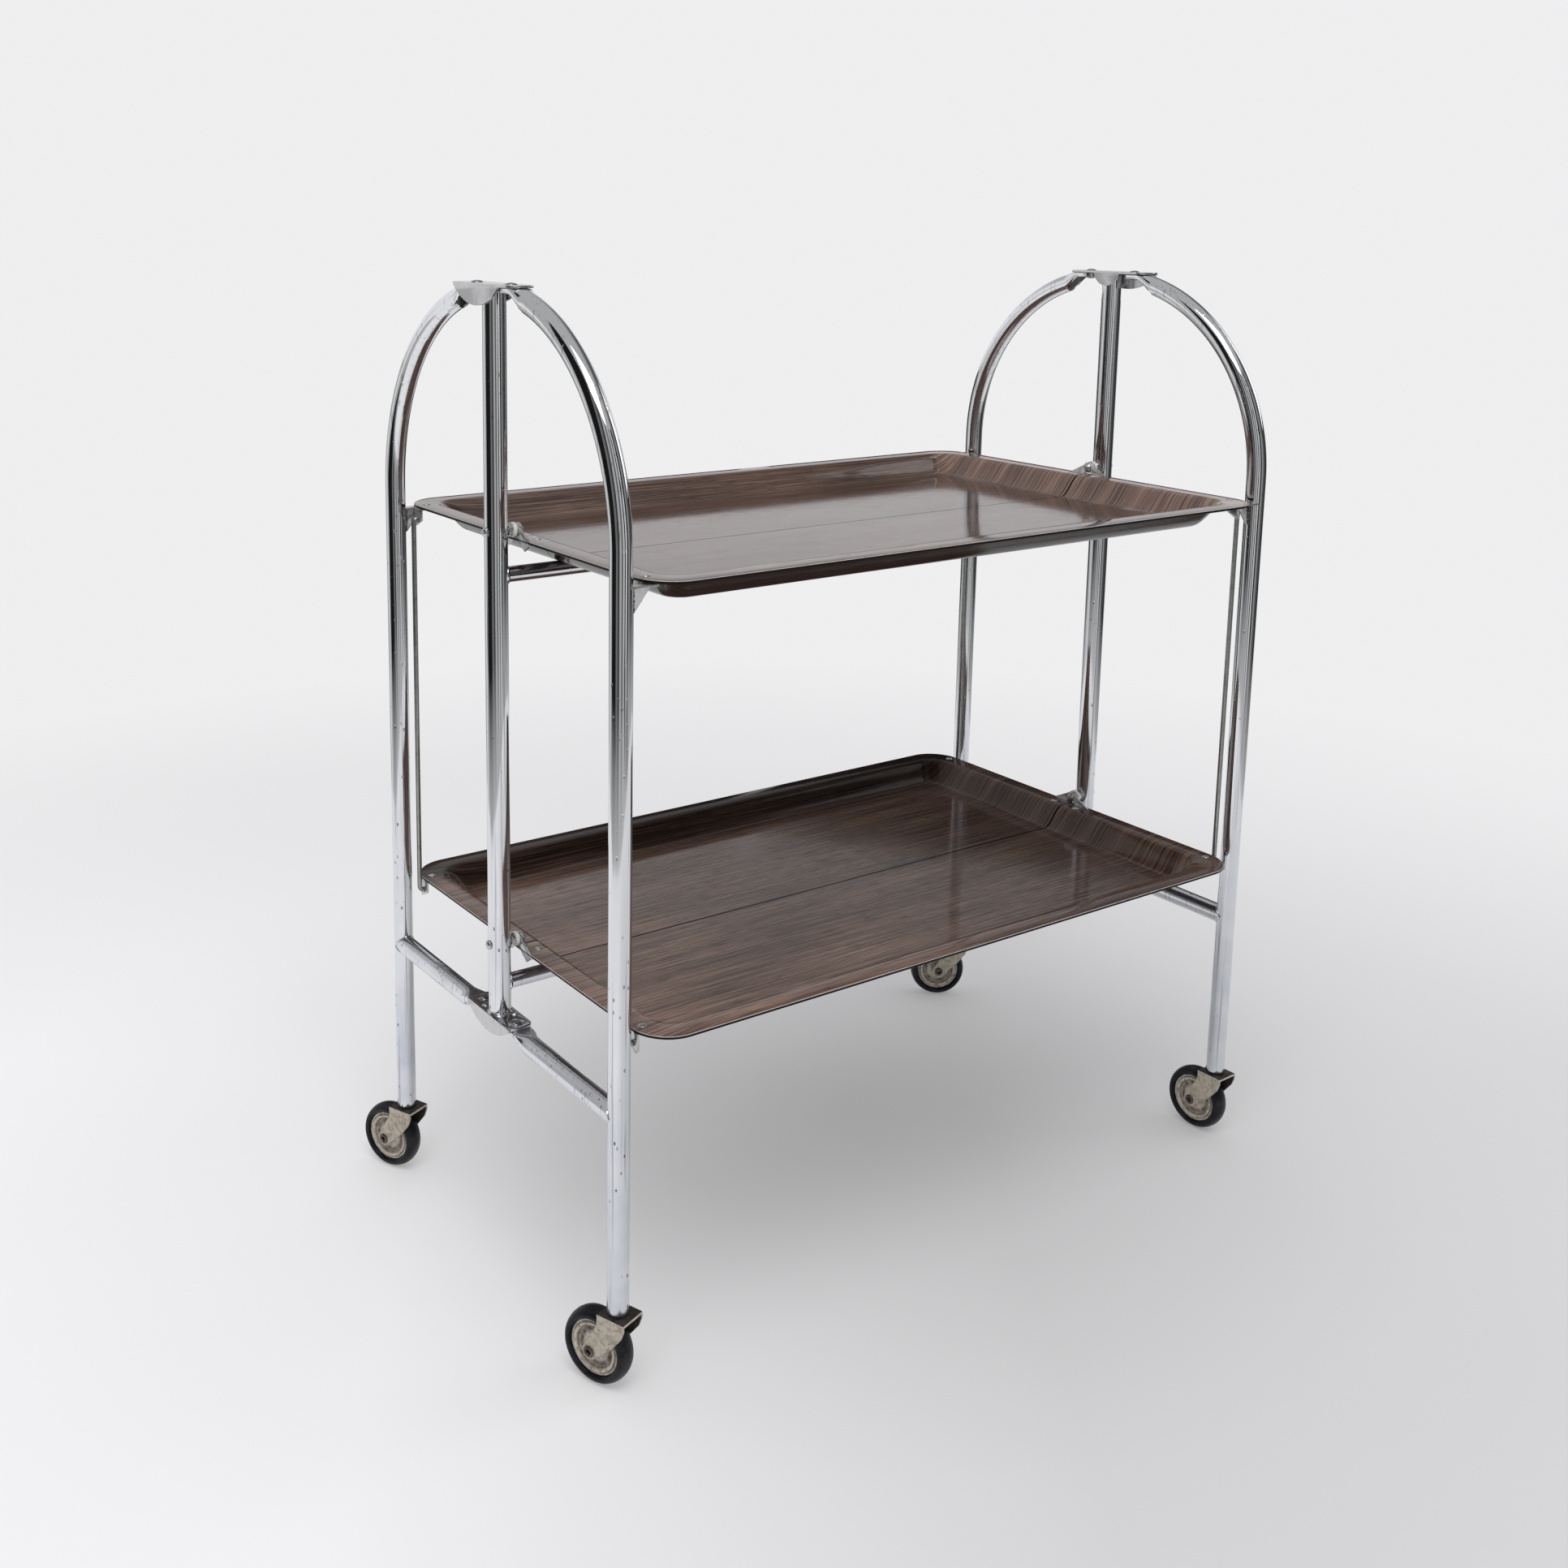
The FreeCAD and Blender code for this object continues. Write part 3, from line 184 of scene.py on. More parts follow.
class Graph(Nodes):
    """Node tree of one finish, around one principled shader."""

    def __init__(self, name: str) -> None:
        """Start a finish with its shader alone.

        Args:
            name: Name of the material.
        """
        self.material = bpy.data.materials.new(name)
        self.material.use_nodes = True
        super().__init__(self.material.node_tree)
        self.shader = self.node("ShaderNodeBsdfPrincipled")
        self.output = self.node("ShaderNodeOutputMaterial", {"Surface": self.shader.outputs["BSDF"]})
        self.place = self.node("ShaderNodeTexCoord").outputs["Object"]

    def axis(self, letter: str) -> Socket:
        """One of the object coordinates: X, Y or Z."""
        return self.node("ShaderNodeSeparateXYZ", {"Vector": self.place}).outputs[letter]

    def attribute(self, name: str) -> Socket:
        """A value that is stored in the mesh."""
        return self.node("ShaderNodeAttribute", attribute_name=name).outputs["Fac"]

    def vector(self, operation: str, inputs: dict[str | int, object], output: str = "Value") -> Socket:
        """Work on vectors, the object coordinates being the first of them."""
        inputs = {0: self.place, **inputs}
        return self.node("ShaderNodeVectorMath", inputs, operation=operation).outputs[output]

    def scaled(self, colour: Socket, factor: Socket) -> Socket:
        """Colour made lighter or darker by a factor."""
        return self.vector("SCALE", {0: colour, "Scale": factor}, "Vector")

    def stretched(self, scale: tuple[float, float, float], vector: Socket | None = None) -> Socket:
        """Coordinates scaled by different amounts along the three axes."""
        inputs = {"Vector": vector or self.place, "Scale": scale}
        return self.node("ShaderNodeMapping", inputs).outputs["Vector"]

    def noise(self, scale: float, detail: float, vector: Socket | None = None,
              distortion: float = 0.0) -> Socket:
        """Noise between 0 and 1.

        Args:
            scale: Scale of the noise, per metre.
            detail: Octaves.
            vector: Coordinates, or None for the object's own.
            distortion: How far the noise is bent out of shape.

        Returns:
            The factor output.
        """
        inputs = {"Vector": vector or self.place, "Scale": scale, "Detail": detail, "Distortion": distortion}
        return self.node("ShaderNodeTexNoise", inputs).outputs["Fac"]

    def mottle(self, scale: float, detail: float, spread: Range, vector: Socket | None = None,
               distortion: float = 0.0) -> Socket:
        """Noise that is mapped from one range to another.

        Args:
            scale: Scale of the noise, per metre.
            detail: Octaves.
            spread: Ends of the noise's range, and what they become.
            vector: Coordinates, or None for the object's own.
            distortion: How far the noise is bent out of shape.

        Returns:
            The mapped value.
        """
        return self.span(self.noise(scale, detail, vector, distortion), *spread)

    def ramp(self, value: Socket, stops: Sequence[tuple[float, Colour]]) -> Socket:
        """Colour ramp through a few colours.

        Args:
            value: What picks the colour, from 0 to 1.
            stops: Positions and colours, in order.

        Returns:
            The colour output.
        """
        item = self.node("ShaderNodeValToRGB", {"Fac": value})
        elements = item.color_ramp.elements
        while len(elements) < len(stops):
            elements.new(1.0)
        for element, (position, colour) in zip(elements, stops):
            element.position = position
            element.color = (*colour, 1.0)
        return item.outputs["Color"]

    def bump(self, height: Socket, distance: float, strength: float, under: Socket | None = None) -> Socket:
        """Bump from a height pattern.

        Args:
            height: Height between 0 and 1.
            distance: Depth of the bump in metres.
            strength: Share of it that shows.
            under: Normal that this one is laid over.

        Returns:
            The normal output.
        """
        inputs = {"Height": height, "Distance": distance, "Strength": strength}
        if under is not None:
            inputs["Normal"] = under
        return self.node("ShaderNodeBump", inputs).outputs["Normal"]

    def set(self, **values: object) -> Material:
        """Feed the shader's sockets, spaces in their names written as underscores.

        Args:
            values: What each socket is fed.

        Returns:
            The finished material.
        """
        for name, value in values.items():
            self.feed(self.shader.inputs[name.replace("_", " ")], value)
        return self.material


@dataclass(frozen=True)
class Chrome:
    """Bright chromium plate with ripples, dull patches, pits, and dark lines along the tube that are painted
    reflections.
    """

    name: str = "bright_chrome"
    colour: Colour = (0.80, 0.81, 0.83)
    dull_colour: Colour = (0.62, 0.64, 0.70)
    pit_colour: Colour = (0.10, 0.09, 0.08)
    ripple: float = 0.00012
    lowness: Range = (0.42, 0.10, 0.0, 1.0)
    dull_clouds: Range = (0.32, 0.7, 0.25, 1.0)
    pit_edge: Range = (0.11, 0.19, 1.0, 0.0)
    pitted_spots: Range = (0.48, 0.58, 0.0, 1.0)
    pits_by_lowness: Range = (0.0, 1.0, 0.35, 1.0)
    hairlines: Range = (0.60, 0.70, 0.0, 0.45)
    polish: Range = (0.3, 0.8, 0.035, 0.11)

    def material(self) -> Material:
        """Build the finish.

        Returns:
            The material.
        """
        graph = Graph(self.name)
        lowness = graph.span(graph.axis("Z"), *self.lowness)
        dullness = graph.times(lowness, graph.mottle(38.0, 5.0, self.dull_clouds))
        spots = graph.node("ShaderNodeTexVoronoi", {
            "Vector": graph.stretched((1.0, 1.0, 0.55)), "Scale": 190.0, "Randomness": 1.0})
        pit = graph.span(spots.outputs["Distance"], *self.pit_edge)
        chosen = graph.mottle(55.0, 2.0, self.pitted_spots)
        pits = graph.times(pit, graph.times(chosen, graph.span(lowness, *self.pits_by_lowness)))
        # Painted reflections: dark lines along the tube, which darken the colour together with the real
        # pits.
        lines = graph.mottle(1.0, 2.0, self.hairlines, graph.stretched((420.0, 420.0, 7.0)))
        colour = graph.blend(dullness, self.colour, self.dull_colour)
        colour = graph.blend(graph.math("MAXIMUM", pits, lines), colour, self.pit_colour)
        polish = graph.math("ADD", graph.mottle(14.0, 4.0, self.polish), graph.times(dullness, 0.22))
        rough = graph.math("ADD", polish, graph.times(pits, 0.5))
        normal = graph.bump(graph.noise(9.0, 2.0, graph.stretched((4.0, 4.0, 1.0))), self.ripple, 0.6)
        normal = graph.bump(graph.times(pits, -1.0), 0.0002, 0.8, normal)
        return graph.set(Base_Color=colour, Metallic=1.0, Roughness=rough, Normal=normal)


@dataclass(frozen=True)
class Plate:
    """Plated sheet steel, satin, spotted with age."""

    name: str = "plated_sheet"
    colour: Colour = (0.60, 0.60, 0.60)
    stain: Colour = (0.30, 0.28, 0.25)
    low_rough: float = 0.16
    high_rough: float = 0.42
    grime: float = 0.55
    specks: float = 0.6
    grain: float = 0.00005

    def material(self) -> Material:
        """Build the finish.

        Returns:
            The material.
        """
        graph = Graph(self.name)
        stains = graph.mottle(130.0, 6.0, (0.48, 0.72, 0.0, self.grime), distortion=0.4)
        fine = graph.mottle(620.0, 3.0, (0.58, 0.72, 0.0, self.specks))
        dirt = graph.math("MAXIMUM", stains, graph.times(fine, self.grime))
        rough = graph.mottle(85.0, 4.0, (0.3, 0.75, self.low_rough, self.high_rough))
        normal = graph.bump(graph.noise(420.0, 4.0), self.grain, 0.5)
        colour = graph.blend(dirt, self.colour, self.stain)
        return graph.set(Base_Color=colour, Metallic=0.92, Roughness=rough, Normal=normal)


@dataclass(frozen=True)
class Grimy:
    """Painted or dull plated castor metal, warm grey under years of floor dirt."""

    name: str
    colour: Colour = (0.49, 0.435, 0.355)
    dirt: Colour = (0.10, 0.078, 0.058)
    amount: float = 0.45
    metal: float = 0.2
    ringed: bool = False

    def material(self) -> Material:
        """Build the finish.

        Returns:
            The material.
        """
        graph = Graph(self.name)
        clouds = graph.mottle(170.0, 7.0, (0.44, 0.66, 0.0, 1.0), distortion=0.8)
        specks = graph.mottle(480.0, 5.0, (0.58, 0.66, 0.0, 1.0))
        dirt = graph.math("MAXIMUM", graph.times(clouds, self.amount), graph.times(specks, 0.7))
        # The stored rings darken the disc's hollow and grooves: dirt and painted shade.
        if self.ringed:
            broken = graph.mottle(240.0, 5.0, (0.25, 0.65, 0.35, 1.0))
            dirt = graph.math("MAXIMUM", dirt, graph.times(graph.attribute("grime"), broken))
        colour = graph.blend(dirt, self.colour, self.dirt)
        rough = graph.span(dirt, 0.0, 1.0, 0.34, 0.75)
        normal = graph.bump(graph.noise(360.0, 5.0), 0.00012, 0.6)
        return graph.set(Base_Color=colour, Metallic=self.metal, Roughness=rough, Normal=normal)


@dataclass(frozen=True)
class Rubber:
    """Black rubber, faintly dusty."""

    name: str = "black_rubber"
    colour: Colour = (0.005, 0.005, 0.008)
    dust: Colour = (0.040, 0.040, 0.046)

    def material(self) -> Material:
        """Build the finish.

        Returns:
            The material.
        """
        graph = Graph(self.name)
        colour = graph.blend(graph.mottle(110.0, 6.0, (0.45, 0.8, 0.0, 0.55)), self.colour, self.dust)
        rough = graph.mottle(60.0, 4.0, (0.3, 0.8, 0.30, 0.52))
        normal = graph.bump(graph.noise(900.0, 3.0), 0.00006, 0.5)
        return graph.set(Base_Color=colour, Roughness=rough, Normal=normal, Specular_IOR_Level=0.22)


@dataclass(frozen=True)
class Plastic:
    """Moulded plastic with a little soil in it."""

    name: str
    colour: Colour
    soil: Colour
    gloss: float = 0.3
    shine: float = 0.5

    def material(self) -> Material:
        """Build the finish.

        Returns:
            The material.
        """
        graph = Graph(self.name)
        colour = graph.blend(graph.mottle(280.0, 5.0, (0.5, 0.75, 0.0, 0.6)), self.colour, self.soil)
        rough = graph.mottle(160.0, 3.0, (0.3, 0.8, self.gloss, self.gloss + 0.2))
        normal = graph.bump(graph.noise(700.0, 2.0), 0.00003, 0.5)
        return graph.set(Base_Color=colour, Roughness=rough, Normal=normal, Specular_IOR_Level=self.shine)


@dataclass(frozen=True)
class Laminate:
    """Glossy wood-grain laminate, its grain along the trolley, its colour darkened and lightened by painted
    shade and light set for each tray's place.
    """

    name: str = "wood_grain_laminate"
    dark: Colour = (0.026, 0.014, 0.010)
    middle: Colour = (0.098, 0.056, 0.042)
    light: Colour = (0.225, 0.140, 0.106)
    gloss: float = 0.075
    figure_share: float = 0.27
    pores: Range = (0.54, 0.66, 0.0, 0.85)
    lower_tray: Range = (0.39, 0.41, 1.0, 0.0)
    lower_along: Range = (-0.24, 0.22, 1.5, 0.72)
    lower_far_wall: Range = (0.14, 0.165, 1.0, 0.22)
    upper_end_wall: Range = (0.262, 0.276, 0.74, 1.55)
    upper_far_wall: Range = (0.14, 0.16, 1.0, 1.15)
    seam_line: Range = (0.0008, 0.0011, 0.02, 1.0)
    open_sheen: Range = (0.0, 1.0, 0.98, 0.62)
    pore_sheen: Range = (0.0, 1.0, 0.62, 0.26)

    def material(self) -> Material:
        """Build the finish.

        Returns:
            The material.
        """
        graph = Graph(self.name)
        along, aside = graph.axis("X"), graph.axis("Y")
        flat = {"X": along, "Y": graph.attribute("across"), "Z": 0.0}
        sheet = graph.node("ShaderNodeCombineXYZ", flat).outputs[0]
        figure = graph.noise(2.2, 4.0, graph.stretched((1.6, 12.0, 1.0), sheet), 0.6)
        grain = graph.noise(2.6, 7.0, graph.stretched((3.2, 310.0, 1.0), sheet), 0.25)
        pore = graph.mottle(2.4, 4.0, self.pores, graph.stretched((18.0, 560.0, 1.0), sheet))
        share = self.figure_share
        tone = graph.math("ADD", graph.times(figure, share), graph.times(grain, 1.0 - share))
        colour = graph.ramp(tone, ((0.37, self.dark), (0.48, self.middle), (0.61, self.light)))
        colour = graph.blend(pore, colour, self.dark)
        low = graph.span(graph.axis("Z"), *self.lower_tray)
        # Painted light and shade on the lower trays: lighter at the left end, darker towards the right end
        # and much darker on the far wall.
        lower = graph.times(graph.span(along, *self.lower_along), graph.span(aside, *self.lower_far_wall))
        # Painted shade and light on the upper trays: darker overall, with a lighter right-hand end wall and
        # far wall.
        upper = graph.times(graph.span(along, *self.upper_end_wall), graph.span(aside, *self.upper_far_wall))
        seam = graph.span(graph.math("ABSOLUTE", aside, 0.0), *self.seam_line)
        # The painted shade and light are multiplied with the dark seam line.
        shade = graph.times(graph.span(low, 0.0, 1.0, upper, lower), seam)
        rough = graph.mottle(30.0, 4.0, (0.3, 0.8, self.gloss, self.gloss + 0.05))
        normal = graph.bump(pore, 0.00002, 0.35)
        normal = graph.bump(graph.noise(16.0, 2.0), 0.00025, 0.25, normal)
        sheen = graph.span(graph.math("ADD", grain, pore), 0.35, 1.3, graph.span(low, *self.open_sheen),
                           graph.span(low, *self.pore_sheen))
        # The sheen also falls where the painted shade is dark.
        sheen = graph.times(sheen, graph.span(shade, 0.0, 1.0, 0.1, 1.0))
        return graph.set(Base_Color=graph.scaled(colour, shade), Roughness=rough, Normal=normal,
                         Specular_IOR_Level=sheen)


# Meshes


def turns(count: int) -> list[float]:
    """Equal steps of one full turn, in radians."""
    return [2 * math.pi * step / count for step in range(count)]


def linked(name: str, data: bpy.types.ID) -> Thing:
    """Put an object of some data in the scene.

    Args:
        name: Name of the object.
        data: Its mesh, curve, lamp or camera.

    Returns:
        The object.
    """
    thing = bpy.data.objects.new(name, data)
    bpy.context.scene.collection.objects.link(thing)
    return thing


@contextmanager
def editing(mesh: bpy.types.Mesh) -> Iterator[bmesh.types.BMesh]:
    """Edit a mesh in place.

    Args:
        mesh: Mesh to edit.

    Yields:
        Its points, edges and faces, which are written back afterwards.
    """
    work = bmesh.new()
    work.from_mesh(mesh)
    yield work
    work.to_mesh(mesh)
    work.free()


def mesh_object(name: str, rings: Sequence[Ring], caps: bool = True, closed: bool = True) -> Thing:
    """Skin a row of rings of equal length, with merged doubles and outward faces.

    Args:
        name: Name of the new object.
        rings: Points of each ring, in metres.
        caps: Whether the first and the last ring are closed with a face.
        closed: Whether each ring runs back to its first point.

    Returns:
        The new object, in the scene.
    """
    count = len(rings[0])
    points = [tuple(point) for ring in rings for point in ring]
    faces = []
    for row in range(len(rings) - 1):
        for step in range(count if closed else count - 1):
            one, two = row * count + step, row * count + (step + 1) % count
            faces.append((one, two, two + count, one + count))
    if caps:
        faces.append(tuple(reversed(range(count))))
        faces.append(tuple(range(len(points) - count, len(points))))
    mesh = bpy.data.meshes.new(name)
    mesh.from_pydata(points, [], faces)
    with editing(mesh) as work:
        bmesh.ops.remove_doubles(work, verts=work.verts, dist=1e-7)
        bmesh.ops.recalc_face_normals(work, faces=work.faces)
    return linked(name, mesh)


def smooth(thing: Thing, angle: float = 32.0) -> Thing:
    """Shade an object smooth.

    Args:
        thing: Object to shade.
        angle: Edges sharper than this, in degrees, stay sharp.

    Returns:
        The object.
    """
    mesh = thing.data
    mesh.polygons.foreach_set("use_smooth", [True] * len(mesh.polygons))
    mesh.set_sharp_from_angle(angle=math.radians(angle))
    mesh.update()
    return thing


def baked(thing: Thing) -> Thing:
    """Turn an object with its modifiers into a plain mesh object of the same name.

    Args:
        thing: Object to bake; it is removed.

    Returns:
        The plain object.
    """
    bpy.context.view_layer.update()
    graph = bpy.context.evaluated_depsgraph_get()
    mesh = bpy.data.meshes.new_from_object(thing.evaluated_get(graph))
    name = thing.name
    bpy.data.objects.remove(thing)
    mesh.name = name
    return linked(name, mesh)


def beveled(thing: Thing, width: float, segments: int = 2, angle: float = 40.0) -> Thing:
    """Round an object's sharp edges.

    Args:
        thing: Object to round; it is replaced.
        width: Width of the rounding in millimetres.
        segments: Faces across it.
        angle: Smallest edge angle that is rounded, in degrees.

    Returns:
        The rounded object.
    """
    bevel = thing.modifiers.new("rounding", "BEVEL")
    bevel.width = width * MM
    bevel.segments = segments
    bevel.limit_method = "ANGLE"
    bevel.angle_limit = math.radians(angle)
    bevel.harden_normals = False
    bevel.use_clamp_overlap = True
    return baked(thing)


def copy_of_node(node: str, name: str) -> Thing:
    """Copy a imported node's mesh, with its loose triangles merged into flat faces.

    Args:
        node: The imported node.
        name: Name of the copy.

    Returns:
        The new object.
    """
    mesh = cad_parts[node].data.copy()
    mesh.name = name
    with editing(mesh) as work:
        bmesh.ops.remove_doubles(work, verts=work.verts, dist=2e-6)
        bmesh.ops.dissolve_limit(work, angle_limit=math.radians(1.0), verts=work.verts, edges=work.edges)
    mesh.materials.clear()
    return linked(name, mesh)


def turned(name: str, profile: Profile, place: Matrix, steps: int) -> Thing:
    """Turn a profile about the local X axis.

    Args:
        name: Name of the new object.
        profile: Places along the axis and radii; it is closed where it meets the axis.
        place: Where the local axis goes, in metres.
        steps: Faces round the turn.

    Returns:
        The new object.
    """
    rings = [[place @ (Vector((along, radius * math.cos(angle), radius * math.sin(angle))) * MM)
              for angle in turns(steps)] for along, radius in profile]
    return mesh_object(name, rings, caps=False)


def mirrored(half: Profile) -> Profile:
    """The other half of a profile, in turned order."""
    return [(-along, radius) for along, radius in reversed(half)]


def roughened(thing: Thing, depth: float) -> Thing:
    """Make a weld bead uneven.

    Args:
        thing: The bead.
        depth: Depth of its lumps in millimetres.

    Returns:
        The bead.
    """
    for vertex in thing.data.vertices:
        spot = vertex.co / MM
        wave = math.sin(spot.x * 1.9 + spot.z * 1.3) + math.sin(spot.y * 2.7 - spot.z * 2.1)
        vertex.co = vertex.co + vertex.normal * (wave * 0.5 * depth * MM)
    return thing


def store(thing: Thing, name: str, values: Iterable[float], domain: str = "POINT") -> None:
    """Store one value for each point or face of a mesh."""
    thing.data.attributes.new(name, "FLOAT", domain).data.foreach_set("value", list(values))


def dress(thing: Thing, material: Material | None, body: str, nodes: Sequence[str] = ()) -> Thing:
    """Give a piece its finish, its body and the nodes that it stands for.

    Args:
        thing: The finished piece.
        material: Its material, or None where its faces already have theirs.
        body: Body that it rides on.
        nodes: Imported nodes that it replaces.

    Returns:
        The piece.
    """
    if material is not None:
        thing.data.materials.clear()
        thing.data.materials.append(material)
    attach(thing, body)
    if nodes:
        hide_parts(*nodes)
    LOG.info("%s rides on %s with %d faces", thing.name, body, len(thing.data.polygons))
    return thing


# Geometry Nodes


class Group(Nodes):
    """Geometry Nodes group that makes one plain mesh of an object."""

    def __init__(self, name: str, inputs: dict[str, str], made: str) -> None:
        """Start a group.

        Args:
            name: Name of the group.
            inputs: Name and type of each input, its geometry first.
            made: Name of its output.
        """
        super().__init__(bpy.data.node_groups.new(name, "GeometryNodeTree"))
        face = self.tree.interface
        self.keys = {}
        for label, kind in inputs.items():
            socket = face.new_socket(label, in_out="INPUT", socket_type=f"NodeSocket{kind}")
            self.keys[label] = socket.identifier
        face.new_socket(made, in_out="OUTPUT", socket_type="NodeSocketGeometry")
        self.start = self.node("NodeGroupInput")

    def given(self, label: str) -> Socket:
        """What the group is given for one of its inputs."""
        return self.start.outputs[label]

    def finish(self, geometry: Socket) -> None:
        """Realize the geometry, give it its material and put it out.

        Args:
            geometry: What the group has made.
        """
        real = self.node("GeometryNodeRealizeInstances", {"Geometry": geometry}).outputs["Geometry"]
        paint = self.node("GeometryNodeSetMaterial", {"Geometry": real, "Material": self.given("Finish")})
        self.node("NodeGroupOutput", {0: paint.outputs["Geometry"]})

    def applied(self, thing: Thing, **values: object) -> Thing:
        """Run the group on an object.

        Args:
            thing: Object that it works on; it is replaced.
            values: What its other inputs are given.

        Returns:
            The plain mesh object.
        """
        modifier = thing.modifiers.new("nodes", "NODES")
        modifier.node_group = self.tree
        for label, value in values.items():
            modifier[self.keys[label]] = value
        return smooth(baked(thing))


class WireTree(Group):
    """Node group that sweeps a round section along a path."""

    def __init__(self) -> None:
        """Build the group once, for every tube, rod and bead."""
        super().__init__("tube_along_path", {
            "Path": "Geometry", "Radius": "Float", "Sides": "Int", "Finish": "Material"}, "Tube")
        circle = self.node("GeometryNodeCurvePrimitiveCircle", {
            "Resolution": self.given("Sides"), "Radius": self.given("Radius")})
        sweep = self.node("GeometryNodeCurveToMesh", {
            "Curve": self.given("Path"), "Profile Curve": circle.outputs["Curve"], "Fill Caps": True})
        self.finish(sweep.outputs["Mesh"])

    def along(self, name: str, path: Sequence[Vector], radius: float, finish: Material, sides: int,
              cyclic: bool = False) -> Thing:
        """Sweep a tube along a path.

        Args:
            name: Name of the new object.
            path: Points of the path, in metres.
            radius: Radius in millimetres.
            finish: Material of the tube.
            sides: Faces round it.
            cyclic: Whether the path closes.

        Returns:
            The plain mesh object.
        """
        curve = bpy.data.curves.new(name, "CURVE")
        curve.dimensions = "3D"
        spline = curve.splines.new("POLY")
        spline.points.add(len(path) - 1)
        for point, place in zip(spline.points, path):
            point.co = (*place, 1.0)
        spline.use_cyclic_u = cyclic
        return self.applied(linked(name, curve), Radius=radius * MM, Sides=sides, Finish=finish)


@dataclass(frozen=True)
class RivetHead:
    """Low domed head, with a short shank into the plate or a formed tail behind it."""

    radius: float
    height: float
    shank: float = 1.0
    tail: float = 0.0
    dome_steps: int = 6

    def build(self) -> Thing:
        """Turn the head, standing on the origin.

        Returns:
            The head, which is removed after use.
        """
        tail, height, radius = self.tail, self.height, self.radius
        rows = [(-self.shank, 0.0)]
        if tail:
            rows = [(-tail - height * 0.8, 0.0), (-tail - height * 0.7, radius * 0.5),
                    (-tail - height * 0.3, radius * 0.85), (-tail, radius * 0.92)]
        rows += [(-max(tail, self.shank), radius * 0.5), (0.0, radius * 0.5), (0.0, radius)]
        for step in range(1, self.dome_steps + 1):
            angle = QUARTER * step / self.dome_steps
            level = math.cos(angle)
            rows.append((height * math.sin(angle), radius * (0.35 * level ** 2 + 0.65 * level)))
        return turned("rivet_head", rows, UPRIGHT, 28)


class RivetTree(Group):
    """Node group that sets one rivet head on every point, each turned at random."""

    tilt: float = 0.03

    def __init__(self) -> None:
        """Build the group once, for every row of rivets."""
        super().__init__("rivets_on_points", {
            "Points": "Geometry", "Head": "Object", "Seed": "Int", "Finish": "Material"}, "Rivets")
        info = self.node("GeometryNodeObjectInfo", {"Object": self.given("Head")})
        turn = self.node("FunctionNodeRandomValue", {
            0: (-self.tilt, -self.tilt, 0.0), 1: (self.tilt, self.tilt, 2 * math.pi),
            "Seed": self.given("Seed")}, data_type="FLOAT_VECTOR")
        spread = self.node("GeometryNodeInstanceOnPoints", {
            "Points": self.given("Points"), "Instance": info.outputs["Geometry"],
            "Rotation": turn.outputs[0]})
        self.finish(spread.outputs["Instances"])

    def on(self, name: str, points: Ring, rivet: RivetHead, seed: int, finish: Material) -> Thing:
        """Set a head on every point.

        Args:
            name: Name of the new object.
            points: Seats of the heads, in metres.
            rivet: The head.
            seed: Seed of the random turns.
            finish: Material of the heads.

        Returns:
            The plain mesh object.
        """
        head = rivet.build()
        mesh = bpy.data.meshes.new(name)
        mesh.from_pydata([tuple(point) for point in points], [], [])
        thing = self.applied(linked(name, mesh), Head=head, Seed=seed, Finish=finish)
        bpy.data.objects.remove(head)
        return thing


# Tubes of the frame


